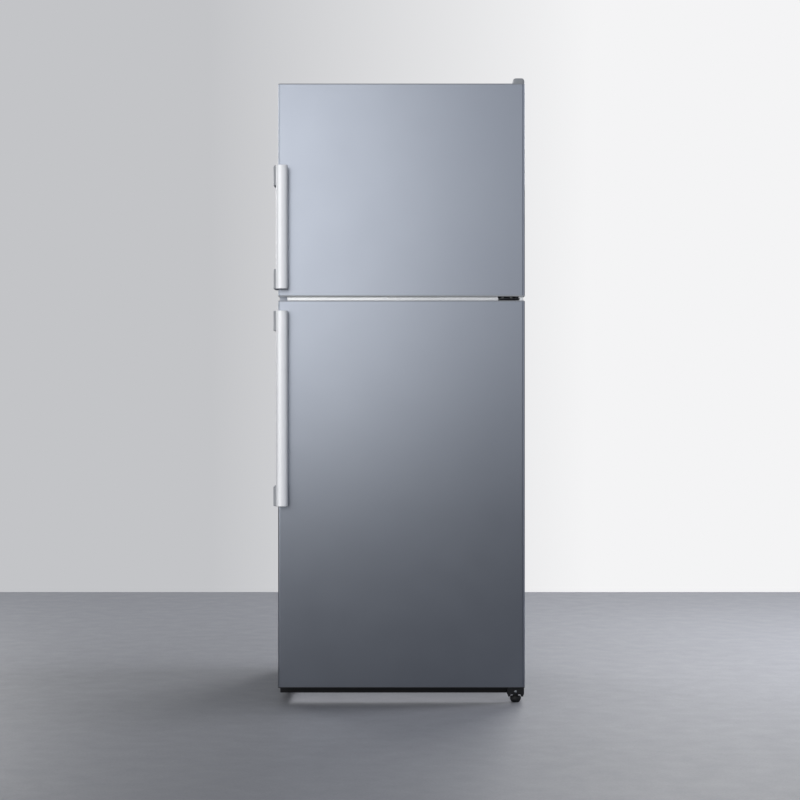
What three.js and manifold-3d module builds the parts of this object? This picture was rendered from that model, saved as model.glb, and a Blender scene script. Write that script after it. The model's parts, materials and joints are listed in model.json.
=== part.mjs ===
// Top freezer refrigerator: a steel cabinet with two foam filled doors hinged on the right.
// Millimetres, +X to the right, the doors face -Y, +Z up, origin on the floor under the middle.
import * as THREE from "three";
import { mergeVertices } from "three/addons/utils/BufferGeometryUtils.js";
import Module from "manifold-3d";

const wasm = await Module();
wasm.setup();

// ---------------------------------------------------------------- driving dimensions

const WIDTH = 660;
const DEPTH = 712; // handle face to rear face
const HEIGHT = 1672; // floor to the top of the hinge cover
const HANDLE_REACH = 52; // how far a handle stands in front of its door
const DOOR_THICKNESS = 58;
const SEAL_SPACE = 12; // between the back of a door and the front of the cabinet
const SHEET = 1; // steel sheet
const LINER = 2; // vacuum formed plastic
const GAP = 0.3; // clearance between pieces that touch

const HALF = WIDTH / 2;
const DOOR_FRONT = -DEPTH / 2 + HANDLE_REACH;
const DOOR_BACK = DOOR_FRONT + DOOR_THICKNESS;
const CABINET_FRONT = DOOR_BACK + SEAL_SPACE;
const CABINET_BACK = DEPTH / 2;
const CABINET_BOTTOM = 30;
const CABINET_TOP = 1652;
const FRONT_FLANGE = 40; // steel that the door seals hold on to
const REAR_FLANGE = 25;
const INSIDE_SHEET = HALF - SHEET - GAP;
const BETWEEN_FLANGES = HALF - FRONT_FLANGE - GAP;

const FRIDGE_DOOR = { name: "fridge_door", bottom: 40, top: 1076 };
const FREEZER_DOOR = { name: "freezer_door", bottom: 1087, top: 1656 };
const HINGE = { x: 310, y: -272, pin: 4.5, bore: 5.2 };
const DOOR_CORNER = 8; // radius of a door's upright front edges
const DOOR_FOLD = 12; // the skin's fold round the back of the door
const CAP = 12; // height of a door's end caps

const ROOM_HALF = 284; // both compartments, side to side
const ROOM_BACK = 295;
const FRIDGE_ROOM = { bottom: 105, top: 1040 };
const FREEZER_ROOM = { bottom: 1122, top: 1592 };
const STEP = { y: 143, z: 277 }; // where the fridge floor rises over the machine bay
const MULLION = { bottom: 1050, top: 1113 };
const DECK = 50; // underside of the sheet below the foam
const BAY = { front: 185, top: 235 };
const FOAM_FRONT = -216;

const SHELF_FRONT = -130;
const SHELF_DEPTH = 400;
const SHELF_HALF = ROOM_HALF - 3;
const LEDGE = { width: 10, height: 8 };
const SHELVES = { upper_shelf: 780, middle_shelf: 560 };
const FREEZER_SHELF = 1350;
const CRISPER_COVER = 325;

const SEAL = { outer: 308, width: 18, inset: 14 };
const DYKE = { outer: 268, wall: 18, depth: 34 }; // raised frame on the inside of a door
const BIN = { half: 249.5, back: DOOR_BACK + GAP, front: -152, wall: 2.5 };

// ---------------------------------------------------------------- finishes

const FINISHES = {
  stainless_steel: { color: 0xa4a9b4, roughness: 0.34, metalness: 0.9 },
  painted_steel: { color: 0x85898f, roughness: 0.5, metalness: 0.2 },
  galvanised_steel: { color: 0x9a9fa4, roughness: 0.45, metalness: 0.8 },
  black_steel: { color: 0x1c1d20, roughness: 0.5, metalness: 0.3 },
  satin_aluminium: { color: 0xe2e3e5, roughness: 0.3, metalness: 0.8 },
  grey_plastic: { color: 0xb0b3b8, roughness: 0.45, metalness: 0.1 },
  white_plastic: { color: 0xeef0f1, roughness: 0.35, metalness: 0 },
  clear_plastic: { color: 0xdfe8ee, roughness: 0.12, metalness: 0 },
  glass: { color: 0xcfe0dc, roughness: 0.05, metalness: 0 },
  seal_rubber: { color: 0xc4c6c9, roughness: 0.7, metalness: 0 },
  black_plastic: { color: 0x17181a, roughness: 0.55, metalness: 0 },
  foam: { color: 0xe6d9a8, roughness: 0.9, metalness: 0 },
  black_enamel: { color: 0x141416, roughness: 0.35, metalness: 0.3 },
};

// ---------------------------------------------------------------- shape helpers

const X = new THREE.Vector3(1, 0, 0);
const Y = new THREE.Vector3(0, 1, 0);
const Z = new THREE.Vector3(0, 0, 1);

/** A block between two corners. */
function box(x0, x1, y0, y1, z0, z1) {
  const block = new THREE.BoxGeometry(x1 - x0, y1 - y0, z1 - z0);
  return block.translate((x0 + x1) / 2, (y0 + y1) / 2, (z0 + z1) / 2);
}

/** A THREE.Shape through [u, v] corners, or the shape itself. */
function outline(corners) {
  if (corners instanceof THREE.Shape) return corners;
  return new THREE.Shape(corners.map(([u, v]) => new THREE.Vector2(u, v)));
}

function extrude(corners, depth) {
  const options = { depth, bevelEnabled: false, curveSegments: 6 };
  return new THREE.ExtrudeGeometry(outline(corners), options);
}

/** A prism along X from an outline in (y, z). */
function prismX(corners, x0, x1) {
  const turn = new THREE.Matrix4().makeBasis(Y, Z, X);
  return extrude(corners, x1 - x0).applyMatrix4(turn).translate(x0, 0, 0);
}

/** A prism along Y from an outline in (x, z). */
function prismY(corners, y0, y1) {
  const turn = new THREE.Matrix4().makeBasis(X, Z, Y.clone().negate());
  return extrude(corners, y1 - y0).applyMatrix4(turn).translate(0, y1, 0);
}

/** A prism along Z from an outline in (x, y). */
function prismZ(corners, z0, z1) {
  return extrude(corners, z1 - z0).translate(0, 0, z0);
}

/** A rod between two heights, round an upright axis. */
function post(x, y, z0, z1, radius, sides = 16) {
  const rod = new THREE.CylinderGeometry(radius, radius, z1 - z0, sides);
  return rod.rotateX(Math.PI / 2).translate(x, y, (z0 + z1) / 2);
}

/** A body turned round an upright axis from [radius, height] points that run upwards. */
function turned(profile, sides = 20) {
  const points = profile.map(([radius, height]) => new THREE.Vector2(radius, height));
  return new THREE.LatheGeometry(points, sides).rotateX(Math.PI / 2);
}

function toSolid(geometry) {
  const bare = geometry.clone();
  for (const name of Object.keys(bare.attributes)) {
    if (name !== "position") bare.deleteAttribute(name);
  }
  const merged = mergeVertices(bare, 1e-4);
  return new wasm.Manifold(
    new wasm.Mesh({
      numProp: 3,
      vertProperties: merged.attributes.position.array,
      triVerts: new Uint32Array(merged.index.array),
    }),
  );
}

function toGeometry(solid) {
  const mesh = solid.getMesh();
  const geometry = new THREE.BufferGeometry();
  geometry.setAttribute("position", new THREE.BufferAttribute(mesh.vertProperties, 3));
  geometry.setIndex(new THREE.BufferAttribute(mesh.triVerts, 1));
  geometry.computeVertexNormals();
  return geometry;
}

function join(...pieces) {
  return toGeometry(pieces.map(toSolid).reduce((whole, next) => whole.add(next)));
}

function cut(body, ...tools) {
  return toGeometry(tools.map(toSolid).reduce((rest, tool) => rest.subtract(tool), toSolid(body)));
}

function common(a, b) {
  return toGeometry(toSolid(a).intersect(toSolid(b)));
}

/** A named mesh with a finish of its own. */
function piece(name, finish, geometry) {
  const mesh = new THREE.Mesh(geometry, new THREE.MeshStandardMaterial(FINISHES[finish]));
  mesh.name = name;
  return mesh;
}

function assembly(...members) {
  return new THREE.Group().add(...members);
}

// ---------------------------------------------------------------- cabinet

/** Pressed side sheet with its front and rear folds; side is -1 or 1. */
function sidePanel(name, side) {
  const corners = [
    [HALF - FRONT_FLANGE, CABINET_FRONT],
    [HALF, CABINET_FRONT],
    [HALF, CABINET_BACK],
    [HALF - REAR_FLANGE, CABINET_BACK],
    [HALF - REAR_FLANGE, CABINET_BACK - SHEET],
    [HALF - SHEET, CABINET_BACK - SHEET],
    [HALF - SHEET, CABINET_FRONT + SHEET],
    [HALF - FRONT_FLANGE, CABINET_FRONT + SHEET],
  ].map(([x, y]) => [side * x, y]);
  return piece(name, "painted_steel", prismZ(corners, CABINET_BOTTOM, CABINET_TOP - SHEET - GAP));
}

function topPanel() {
  const sheet = box(-HALF, HALF, CABINET_FRONT, CABINET_BACK, CABINET_TOP - SHEET, CABINET_TOP);
  const fold = box(
    -BETWEEN_FLANGES, BETWEEN_FLANGES, CABINET_FRONT, CABINET_FRONT + SHEET,
    CABINET_TOP - FRONT_FLANGE, CABINET_TOP,
  );
  return piece("top_panel", "painted_steel", join(sheet, fold));
}

function backPanel() {
  const half = HALF - REAR_FLANGE - GAP;
  const bottom = BAY.top + 20;
  const sheet = box(
    -half, half, CABINET_BACK - SHEET, CABINET_BACK, bottom, CABINET_TOP - SHEET - GAP,
  );
  return piece("back_panel", "galvanised_steel", sheet);
}

/** Sheet under the foam, which steps up over the machine bay. */
function bottomDeck() {
  const back = CABINET_BACK - SHEET - GAP;
  const front = CABINET_FRONT + SHEET + GAP;
  const stepped = [
    [front, DECK],
    [BAY.front + SHEET, DECK],
    [BAY.front + SHEET, BAY.top],
    [back, BAY.top],
    [back, BAY.top + SHEET],
    [BAY.front, BAY.top + SHEET],
    [BAY.front, DECK + SHEET],
    [front, DECK + SHEET],
  ];
  const lip = [
    [CABINET_FRONT, DECK],
    [front + SHEET, DECK],
    [front + SHEET, DECK + SHEET],
    [CABINET_FRONT + SHEET, DECK + SHEET],
    [CABINET_FRONT + SHEET, DECK + FRONT_FLANGE],
    [CABINET_FRONT, DECK + FRONT_FLANGE],
  ];
  const sheet = join(
    prismX(stepped, -INSIDE_SHEET, INSIDE_SHEET),
    prismX(lip, -BETWEEN_FLANGES, BETWEEN_FLANGES),
  );
  return piece("bottom_deck", "galvanised_steel", sheet);
}

/** Folded rail between the two door openings. */
function mullionRail() {
  const fold = 15;
  const { bottom, top } = MULLION;
  const corners = [
    [CABINET_FRONT, bottom],
    [CABINET_FRONT + fold, bottom],
    [CABINET_FRONT + fold, bottom + SHEET],
    [CABINET_FRONT + SHEET, bottom + SHEET],
    [CABINET_FRONT + SHEET, top - SHEET],
    [CABINET_FRONT + fold, top - SHEET],
    [CABINET_FRONT + fold, top],
    [CABINET_FRONT, top],
  ];
  return piece("mullion_rail", "painted_steel", prismX(corners, -BETWEEN_FLANGES, BETWEEN_FLANGES));
}

const BASE_RAIL = { front: -232.5, back: -200, bottom: 17, wall: 1.5 };
const FOOT_ARM = { inner: -284, back: -85, level: 22 };
const LEFT_FOOT = { x: -306, y: -105 };
const RIGHT_FOOT = { x: 306, y: -280 };
const FOOT_BORE = 5.5;

/** Front rail under the deck, with an arm along its left end that holds the left foot. */
function baseRail() {
  const { front, back, bottom, wall } = BASE_RAIL;
  const corners = [
    [front, bottom],
    [back, bottom],
    [back, bottom + wall],
    [front + wall, bottom + wall],
    [front + wall, DECK - GAP],
    [front, DECK - GAP],
  ];
  const { inner, back: end, level } = FOOT_ARM;
  const rail = prismX(corners, -INSIDE_SHEET, INSIDE_SHEET);
  const web = box(-INSIDE_SHEET, wall - INSIDE_SHEET, front, end, bottom, DECK - GAP);
  const arm = box(-INSIDE_SHEET, inner, back, end, level, level + wall);
  const bore = post(LEFT_FOOT.x, LEFT_FOOT.y, level - 1, level + wall + 1, FOOT_BORE);
  return piece("base_rail", "black_steel", cut(join(rail, web, arm), bore));
}

/** Side outline of the fridge compartment, grown outwards by a wall. */
function fridgeOutline(front, wall) {
  const { bottom, top } = FRIDGE_ROOM;
  return [
    [front, bottom - wall],
    [STEP.y + wall, bottom - wall],
    [STEP.y + wall, STEP.z - wall],
    [ROOM_BACK + wall, STEP.z - wall],
    [ROOM_BACK + wall, top + wall],
    [front, top + wall],
  ];
}

/** Side outline of the freezer compartment, grown outwards by a wall. */
function freezerOutline(front, wall) {
  const { bottom, top } = FREEZER_ROOM;
  return [
    [front, bottom - wall],
    [ROOM_BACK + wall, bottom - wall],
    [ROOM_BACK + wall, top + wall],
    [front, top + wall],
  ];
}

/** Insulation poured between the sheets and the liners. */
function cabinetFoam() {
  const back = CABINET_BACK - SHEET - GAP;
  const top = CABINET_TOP - SHEET - GAP;
  const corners = [
    [FOAM_FRONT, DECK + SHEET + GAP],
    [BAY.front - GAP, DECK + SHEET + GAP],
    [BAY.front - GAP, BAY.top + SHEET + GAP],
    [back, BAY.top + SHEET + GAP],
    [back, top],
    [FOAM_FRONT, top],
  ];
  const wall = LINER + GAP;
  const rooms = [fridgeOutline, freezerOutline].map((side) =>
    prismX(side(CABINET_FRONT, wall), -ROOM_HALF - wall, ROOM_HALF + wall),
  );
  return piece("cabinet_foam", "foam", cut(prismX(corners, -INSIDE_SHEET, INSIDE_SHEET), ...rooms));
}

/** A pair of shelf ledges on the side walls. */
function ledges(z, y0, y1, width = LEDGE.width, height = LEDGE.height) {
  const reach = ROOM_HALF + SHEET;
  return [-1, 1].map((side) => {
    const [x0, x1] = [side * reach, side * (ROOM_HALF - width)].sort((a, b) => a - b);
    return box(x0, x1, y0, y1, z - height, z);
  });
}

/** Formed liner of one compartment: walls, front flange and ledges. */
function liner(side, flange, ledgePairs, extras = []) {
  const shell = prismX(side(CABINET_FRONT, LINER), -ROOM_HALF - LINER, ROOM_HALF + LINER);
  const rim = box(
    -BETWEEN_FLANGES, BETWEEN_FLANGES, CABINET_FRONT, CABINET_FRONT + LINER, ...flange,
  );
  const room = prismX(side(CABINET_FRONT - 1, 0), -ROOM_HALF, ROOM_HALF);
  return join(cut(join(shell, rim), room), ...ledgePairs, ...extras);
}

function freezerLiner() {
  const flange = [MULLION.top + GAP, CABINET_TOP - FRONT_FLANGE - GAP];
  const shelfLedges = ledges(FREEZER_SHELF - GAP, SHELF_FRONT, 200);
  return piece("freezer_liner", "white_plastic", liner(freezerOutline, flange, shelfLedges));
}

const SWITCH = { x: 195, z: 1022.5, size: 11, front: DOOR_BACK + DYKE.depth + 0.5, back: -172 };

function fridgeLiner() {
  const flange = [DECK + FRONT_FLANGE + GAP, MULLION.bottom - GAP];
  const shelfEnd = SHELF_FRONT + SHELF_DEPTH;
  const heights = [...Object.values(SHELVES), CRISPER_COVER];
  const shelfLedges = heights.flatMap((z) => ledges(z - GAP, SHELF_FRONT, shelfEnd));
  const guides = ledges(FRIDGE_ROOM.bottom + 30, SHELF_FRONT + 20, STEP.y + SHEET, 18, 31);
  const bore = SWITCH.size / 2 + 0.5;
  const boss = cut(
    box(SWITCH.x - 13, SWITCH.x + 13, -190, -150, SWITCH.z - 13, FRIDGE_ROOM.top + SHEET),
    box(SWITCH.x - bore, SWITCH.x + bore, -191, SWITCH.back + 6, SWITCH.z - bore, SWITCH.z + bore),
  );
  const shape = liner(fridgeOutline, flange, [...shelfLedges, ...guides], [boss]);
  return piece("fridge_liner", "white_plastic", shape);
}

function cabinet() {
  return assembly(
    sidePanel("left_side_panel", -1),
    sidePanel("right_side_panel", 1),
    topPanel(),
    backPanel(),
    bottomDeck(),
    mullionRail(),
    baseRail(),
    cabinetFoam(),
    freezerLiner(),
    fridgeLiner(),
  );
}

// ---------------------------------------------------------------- inside the freezer

const FAN = { y: 241, z: 1480, radius: 52, hub: 15, blades: 5 };
const COVER = { front: 225, back: 228 };

/** A column of horizontal air slots cut through a panel. */
function slots(count, half, z, pitch, height, y0, y1, x = 0) {
  return Array.from({ length: count }, (_, i) =>
    box(x - half, x + half, y0, y1, z + i * pitch, z + i * pitch + height),
  );
}

/** Panel in front of the evaporator, with the fan motor on its back. */
function evaporatorCover() {
  const panel = box(
    -SHELF_HALF, SHELF_HALF, COVER.front, COVER.back,
    FREEZER_ROOM.bottom + 2, FREEZER_ROOM.top - 2,
  );
  const airOut = slots(8, FAN.radius, FAN.z - 52, 13.5, 8, COVER.front - 1, COVER.back + 1);
  const airIn = [-150, 0, 150].flatMap((x) =>
    slots(2, 60, FREEZER_ROOM.bottom + 18, 14, 7, COVER.front - 1, COVER.back + 1, x),
  );
  const motor = box(-20, 20, 256, 284, FAN.z - 20, FAN.z + 20);
  const strap = box(-75, 75, 270, 273, FAN.z - 8, FAN.z + 8);
  const legs = [-75, 72].map((x) => box(x, x + 3, COVER.back - 1, 273, FAN.z - 8, FAN.z + 8));
  const shape = join(cut(panel, ...airOut, ...airIn), motor, strap, ...legs);
  return piece("evaporator_cover", "white_plastic", shape);
}

/** Finned block behind the cover. */
function evaporator() {
  const half = 230;
  const fins = 22;
  const fin = 1.4;
  const [front, spine, back] = [240, 283, 288];
  const pitch = (2 * half - fin) / (fins - 1);
  const corners = [[half, back], [-half, back]];
  for (let i = 0; i < fins; i += 1) {
    const x = -half + i * pitch;
    if (i > 0) corners.push([x, spine]);
    corners.push([x, front], [x + fin, front]);
    if (i < fins - 1) corners.push([x + fin, spine]);
  }
  return piece("evaporator", "satin_aluminium", prismZ(corners, 1150, 1360));
}

/** Hub with pitched blades, turning round Y. */
function evaporatorFan() {
  const hub = new THREE.CylinderGeometry(FAN.hub, FAN.hub, 16, 20);
  const blades = Array.from({ length: FAN.blades }, (_, i) => {
    const reach = FAN.radius - FAN.hub + 3;
    const blade = box(-13, 13, -0.8, 0.8, FAN.hub - 3, FAN.hub - 3 + reach);
    return blade.rotateZ(0.42).rotateY((i * 2 * Math.PI) / FAN.blades);
  });
  const fan = piece("evaporator_fan", "black_plastic", join(hub, ...blades));
  fan.position.set(0, FAN.y, FAN.z);
  return fan;
}

/** Wire shelf: wires front to back on three cross rods. */
function freezerShelf() {
  const wires = 19;
  const half = SHELF_HALF - 1;
  const end = 195;
  const rods = [SHELF_FRONT, 30, end - 6].map((y) =>
    box(-half, half, y, y + 6, FREEZER_SHELF, FREEZER_SHELF + 5),
  );
  const grid = Array.from({ length: wires }, (_, i) => {
    const x = -half + 6 + (i * 2 * (half - 6)) / (wires - 1);
    return box(x - 1.5, x + 1.5, SHELF_FRONT + 1, end - 1, FREEZER_SHELF + 4, FREEZER_SHELF + 7);
  });
  return piece("freezer_shelf", "white_plastic", join(...rods, ...grid));
}

// ---------------------------------------------------------------- inside the fridge

/** Glass shelf with a rolled front trim and a rear stop. */
function glassShelf(name, z, depth) {
  const end = SHELF_FRONT + depth;
  const corners = [
    [SHELF_FRONT, z + 2],
    [SHELF_FRONT + 4, z],
    [end, z],
    [end, z + 12],
    [end - 4, z + 12],
    [end - 4, z + 5],
    [SHELF_FRONT + 14, z + 5],
    [SHELF_FRONT + 10, z + 8],
    [SHELF_FRONT, z + 8],
  ];
  return piece(name, "glass", prismX(corners, -SHELF_HALF, SHELF_HALF));
}

const CONTROL = { half: 150, front: -60, back: 100, bottom: 1005 };
const KNOB = { x: 96, z: 1022, radius: 13, reach: 10, dial: 5, grip: 5 };

function controlHousing() {
  const { half, front, back, bottom } = CONTROL;
  const corners = [
    [front, FRIDGE_ROOM.top - GAP],
    [front, bottom + 4],
    [front + 12, bottom],
    [back - 12, bottom],
    [back, bottom + 12],
    [back, FRIDGE_ROOM.top - GAP],
  ];
  return piece("control_housing", "white_plastic", prismX(corners, -half, half));
}

function thermostatKnob() {
  const { x, z, radius, reach } = KNOB;
  const dial = new THREE.CylinderGeometry(radius, radius, KNOB.dial, 24);
  const grip = box(-KNOB.grip / 2, KNOB.grip / 2, -reach, 0, 1 - radius, radius - 1);
  const knob = piece("thermostat_knob", "grey_plastic", join(dial, grip));
  knob.position.set(x, CONTROL.front - KNOB.dial / 2 - GAP, z);
  return knob;
}

/** Lamp switch plunger, which the closed door holds in. */
function lightSwitch() {
  const half = SWITCH.size / 2;
  const shape = box(
    SWITCH.x - half, SWITCH.x + half, SWITCH.front, SWITCH.back, SWITCH.z - half, SWITCH.z + half,
  );
  return piece("light_switch", "white_plastic", shape);
}

const CRISPER = { inner: 4, outer: 262, front: -118, back: 138, bottom: 105.5, top: 316, wall: 2.5 };

/** Open topped drawer with a finger lip along its front. */
function crisper(name, side) {
  const { inner, outer, front, back, bottom, top, wall } = CRISPER;
  const half = (outer - inner) / 2;
  const tub = cut(
    box(-half, half, front, back, bottom, top),
    box(-half + wall, half - wall, front + wall, back - wall, bottom + wall, top + 1),
  );
  const lip = prismX(
    [
      [front + 1, top],
      [front - 10, top],
      [front - 10, top - 22],
      [front - 7.5, top - 22],
      [front - 7.5, top - 2.5],
      [front + 1, top - 2.5],
    ],
    -half, half,
  );
  const drawer = piece(name, "clear_plastic", join(tub, lip));
  drawer.position.x = side * (inner + half);
  return drawer;
}

function interior() {
  const shelves = Object.entries(SHELVES).map(([name, z]) => glassShelf(name, z, SHELF_DEPTH));
  return assembly(
    evaporatorCover(),
    evaporator(),
    evaporatorFan(),
    freezerShelf(),
    ...shelves,
    glassShelf("crisper_cover", CRISPER_COVER, SHELF_DEPTH),
    controlHousing(),
    thermostatKnob(),
    lightSwitch(),
    crisper("crisper_left", -1),
    crisper("crisper_right", 1),
  );
}

// ---------------------------------------------------------------- machine bay and feet

const BASE_PLATE = { front: 187, back: 354, bottom: 28, wall: 3 };
const ROLLER = { x: 270, y: 318, radius: 12, half: 8.5, axle: 3, bore: 3.5 };

/** Plate that carries the compressor and the rear rollers. */
function basePlate() {
  const { front, back, bottom, wall } = BASE_PLATE;
  const corners = [
    [front, bottom],
    [back, bottom],
    [back, bottom + wall],
    [front + wall, bottom + wall],
    [front + wall, 80],
    [front, 80],
  ];
  const ears = [-1, 1].flatMap((side) => [-1, 1].map((end) => {
    const x = side * ROLLER.x + end * (ROLLER.half + 2);
    return box(x - 1.5, x + 1.5, ROLLER.y - 10, ROLLER.y + 10, ROLLER.radius - 5, bottom + 1);
  }));
  const axles = [-1, 1].map((side) => {
    const axle = new THREE.CylinderGeometry(ROLLER.axle, ROLLER.axle, 2 * ROLLER.half + 5, 12);
    return axle.rotateZ(Math.PI / 2).translate(side * ROLLER.x, ROLLER.y, ROLLER.radius);
  });
  const plate = prismX(corners, -INSIDE_SHEET, INSIDE_SHEET);
  return piece("base_plate", "galvanised_steel", join(plate, ...ears, ...axles));
}

function roller(name, side) {
  const { radius, half, bore } = ROLLER;
  const tread = new THREE.CylinderGeometry(radius, radius, 2 * half, 24);
  const hole = new THREE.CylinderGeometry(bore, bore, 2 * half + 2, 12);
  const wheel = piece(name, "black_plastic", cut(tread, hole));
  wheel.rotation.z = Math.PI / 2;
  wheel.position.set(side * ROLLER.x, ROLLER.y, radius);
  return wheel;
}

/** Threaded foot with a cupped pad. */
function foot(name, { x, y }) {
  const profile = [
    [0, 0], [10.7, 0], [14.5, 6], [14.5, 14.5], [13.5, 15.6], [7, 15.6], [7, 21], [5, 21], [5, 34], [0, 34],
  ];
  const pad = piece(name, "black_plastic", turned(profile));
  pad.position.set(x, y, 0);
  return pad;
}

/** Sealed motor can with its mounting feet and relay box. */
function compressor() {
  const floor = BASE_PLATE.bottom + BASE_PLATE.wall + GAP;
  const can = turned([
    [0, 6], [50, 6], [66, 18], [71, 40], [71, 88], [74, 92], [71, 96], [68, 124], [50, 146], [0, 153],
  ], 28);
  const feet = join(
    box(-88, 88, -60, -36, 0, 4), box(-88, 88, 36, 60, 0, 4), box(-30, 30, -60, 60, 0, 9),
  );
  const relay = box(-105, -66, -24, 24, 52, 108);
  const unit = piece("compressor", "black_enamel", join(can, feet, relay));
  unit.position.set(170, 268, floor);
  return unit;
}

/** Half turn of tube in the XZ plane. */
class ReturnBend extends THREE.Curve {
  constructor(x, y, z, radius, side) {
    super();
    Object.assign(this, { x, y, z, radius, side });
  }

  getPoint(t, target = new THREE.Vector3()) {
    const angle = Math.PI * (t - 0.5);
    const across = this.side * this.radius * Math.cos(angle);
    return target.set(this.x + across, this.y, this.z + this.radius * Math.sin(angle));
  }
}

/** Serpentine tube with upright wires. */
function condenser() {
  const tube = 3.4;
  const bend = 12;
  const passes = 6;
  const [x0, x1, y, z0] = [-285, 30, 285, 62];
  const passZ = (i) => z0 + 2 * bend * i;
  const straight = (i) => {
    const rod = new THREE.CylinderGeometry(tube, tube, x1 - x0 + 1, 8);
    return rod.rotateZ(Math.PI / 2).translate((x0 + x1) / 2, y, passZ(i));
  };
  const section = new THREE.Shape().absarc(0, 0, tube - 0.05, 0, 2 * Math.PI);
  const turn = (i) => {
    const [x, side] = i % 2 ? [x0, -1] : [x1, 1];
    const path = new ReturnBend(x, y, passZ(i) + bend, bend, side);
    return new THREE.ExtrudeGeometry(section, { steps: 6, extrudePath: path, curveSegments: 4 });
  };
  const wires = Array.from({ length: 8 }, (_, i) => {
    const x = x0 + 15 + (i * (x1 - x0 - 30)) / 7;
    return box(x - 1, x + 1, y - tube - 1, y - tube + 1, z0 - 6, passZ(passes - 1) + 6);
  });
  const runs = Array.from({ length: passes }, (_, i) => straight(i));
  const turns = Array.from({ length: passes - 1 }, (_, i) => turn(i));
  return piece("condenser", "black_enamel", join(...runs, ...turns, ...wires));
}

const INLET = { x: -250, z: 205, radius: 8 };

/** Slotted cover over the machine bay. */
function rearCover() {
  const half = HALF - REAR_FLANGE - GAP;
  const [y0, y1] = [CABINET_BACK - SHEET, CABINET_BACK];
  const sheet = box(-half, half, y0, y1, BASE_PLATE.bottom + 4, BAY.top + 20 - GAP);
  const vents = [-190, -95, 0, 95, 190].flatMap((x) => slots(7, 36, 70, 16, 6, y0 - 1, y1 + 1, x));
  const hole = new THREE.CylinderGeometry(INLET.radius + GAP, INLET.radius + GAP, 9, 16);
  hole.translate(INLET.x, CABINET_BACK, INLET.z);
  return piece("rear_cover", "galvanised_steel", cut(sheet, ...vents, hole));
}

/** Gland where the supply lead enters. */
function cordInlet() {
  const gland = new THREE.CylinderGeometry(INLET.radius, INLET.radius - 1, 18, 16);
  const flange = new THREE.CylinderGeometry(INLET.radius + 4, INLET.radius + 4, 3, 16);
  const grommet = piece("cord_inlet", "black_plastic", join(gland, flange.translate(0, -7.5, 0)));
  grommet.position.set(INLET.x, CABINET_BACK - 9, INLET.z);
  return grommet;
}

function machineBay() {
  return assembly(
    basePlate(),
    compressor(),
    condenser(),
    rearCover(),
    cordInlet(),
    foot("foot_left", LEFT_FOOT),
    foot("foot_right", RIGHT_FOOT),
    roller("roller_left", -1),
    roller("roller_right", 1),
  );
}

// ---------------------------------------------------------------- hinges

const PLATE = 3;

/** Strap on the cabinet top, stepped over the freezer door. */
function topHinge() {
  const door = FREEZER_DOOR.top + 1;
  const roof = CABINET_TOP + GAP;
  const corners = [
    [HINGE.y - 16, door],
    [-231, door],
    [-225, roof],
    [-150, roof],
    [-150, roof + PLATE],
    [-223, roof + PLATE],
    [-229, door + PLATE],
    [HINGE.y - 16, door + PLATE],
  ];
  const pin = post(HINGE.x, HINGE.y, FREEZER_DOOR.top - 20, door + 1, HINGE.pin);
  return piece("top_hinge", "galvanised_steel", join(prismX(corners, 302, 326), pin));
}

/** Moulded cap over the top hinge, open underneath. */
function topHingeCover() {
  const [x0, x1, y0, y1] = [298.5, 329.7, -297, -140];
  const [over, on, top] = [FREEZER_DOOR.top + 1, CABINET_TOP + GAP, HEIGHT];
  const wall = 1.5;
  const round = 9;
  const shell = (inset) => {
    const [left, right, front, back, roof] = [x0 + inset, x1 - inset, y0 + inset, y1 - inset, top - inset];
    const radius = round - inset;
    const across = new THREE.Shape().moveTo(left, on - 5).lineTo(right, on - 5);
    across.absarc(right - radius, roof - radius, radius, 0, Math.PI / 2);
    across.absarc(left + radius, roof - radius, radius, Math.PI / 2, Math.PI);
    const floor = inset ? on - 2 : on;
    const along = new THREE.Shape().moveTo(front, inset ? floor : over);
    if (!inset) along.lineTo(-232, over).lineTo(-232, on);
    along.lineTo(back, floor).lineTo(back, roof);
    along.absarc(front + radius, roof - radius, radius, Math.PI / 2, Math.PI);
    return common(prismY(across, y0, y1), prismX(along, x0, x1));
  };
  return piece("top_hinge_cover", "grey_plastic", cut(shell(0), shell(wall)));
}

/** Angle bracket in the gap between the doors, with a pin up and a pin down. */
function middleHinge() {
  const level = 1080;
  const back = CABINET_FRONT - GAP;
  const corners = [
    [HINGE.y - 14, level],
    [back - PLATE, level],
    [back - PLATE, level - 9],
    [back, level - 9],
    [back, level + 12],
    [back - PLATE, level + 12],
    [back - PLATE, level + PLATE],
    [HINGE.y - 14, level + PLATE],
  ];
  const pin = post(HINGE.x, HINGE.y, FRIDGE_DOOR.top - 14, FREEZER_DOOR.bottom + 14, HINGE.pin);
  return piece("middle_hinge", "black_steel", join(prismX(corners, 262, 317), pin));
}

/** Bracket under the fridge door that carries the lower pin and straddles the right foot. */
function bottomHinge() {
  const [x0, x1] = [283, 328];
  const [y0, y1] = [-297, CABINET_FRONT - GAP];
  const [z0, z1] = [16, FRIDGE_DOOR.bottom - 0.7];
  const floor = 22;
  const leg = 7;
  const arch = [
    [x0, z1], [x0, z0 + 8], [x0 + 3, z0], [x0 + leg, z0], [x0 + leg + 3, floor],
    [x1 - leg - 3, floor], [x1 - leg, z0], [x1 - 3, z0], [x1, z0 + 8], [x1, z1],
  ];
  const bracket = cut(
    prismY(arch, y0, y1),
    box(x0 - 1, x1 + 1, y0 + PLATE, y1 - PLATE, floor + PLATE, z1 - PLATE),
    box(x0 - 1, x1 + 1, y0 + PLATE, y1 - PLATE, z0 - 1, floor),
    post(RIGHT_FOOT.x, RIGHT_FOOT.y, floor - 1, floor + PLATE + 1, FOOT_BORE),
  );
  const pin = post(HINGE.x, HINGE.y, z1 - 1, FRIDGE_DOOR.bottom + 22, HINGE.pin);
  return piece("bottom_hinge", "black_steel", join(bracket, pin));
}

// ---------------------------------------------------------------- doors

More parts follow.
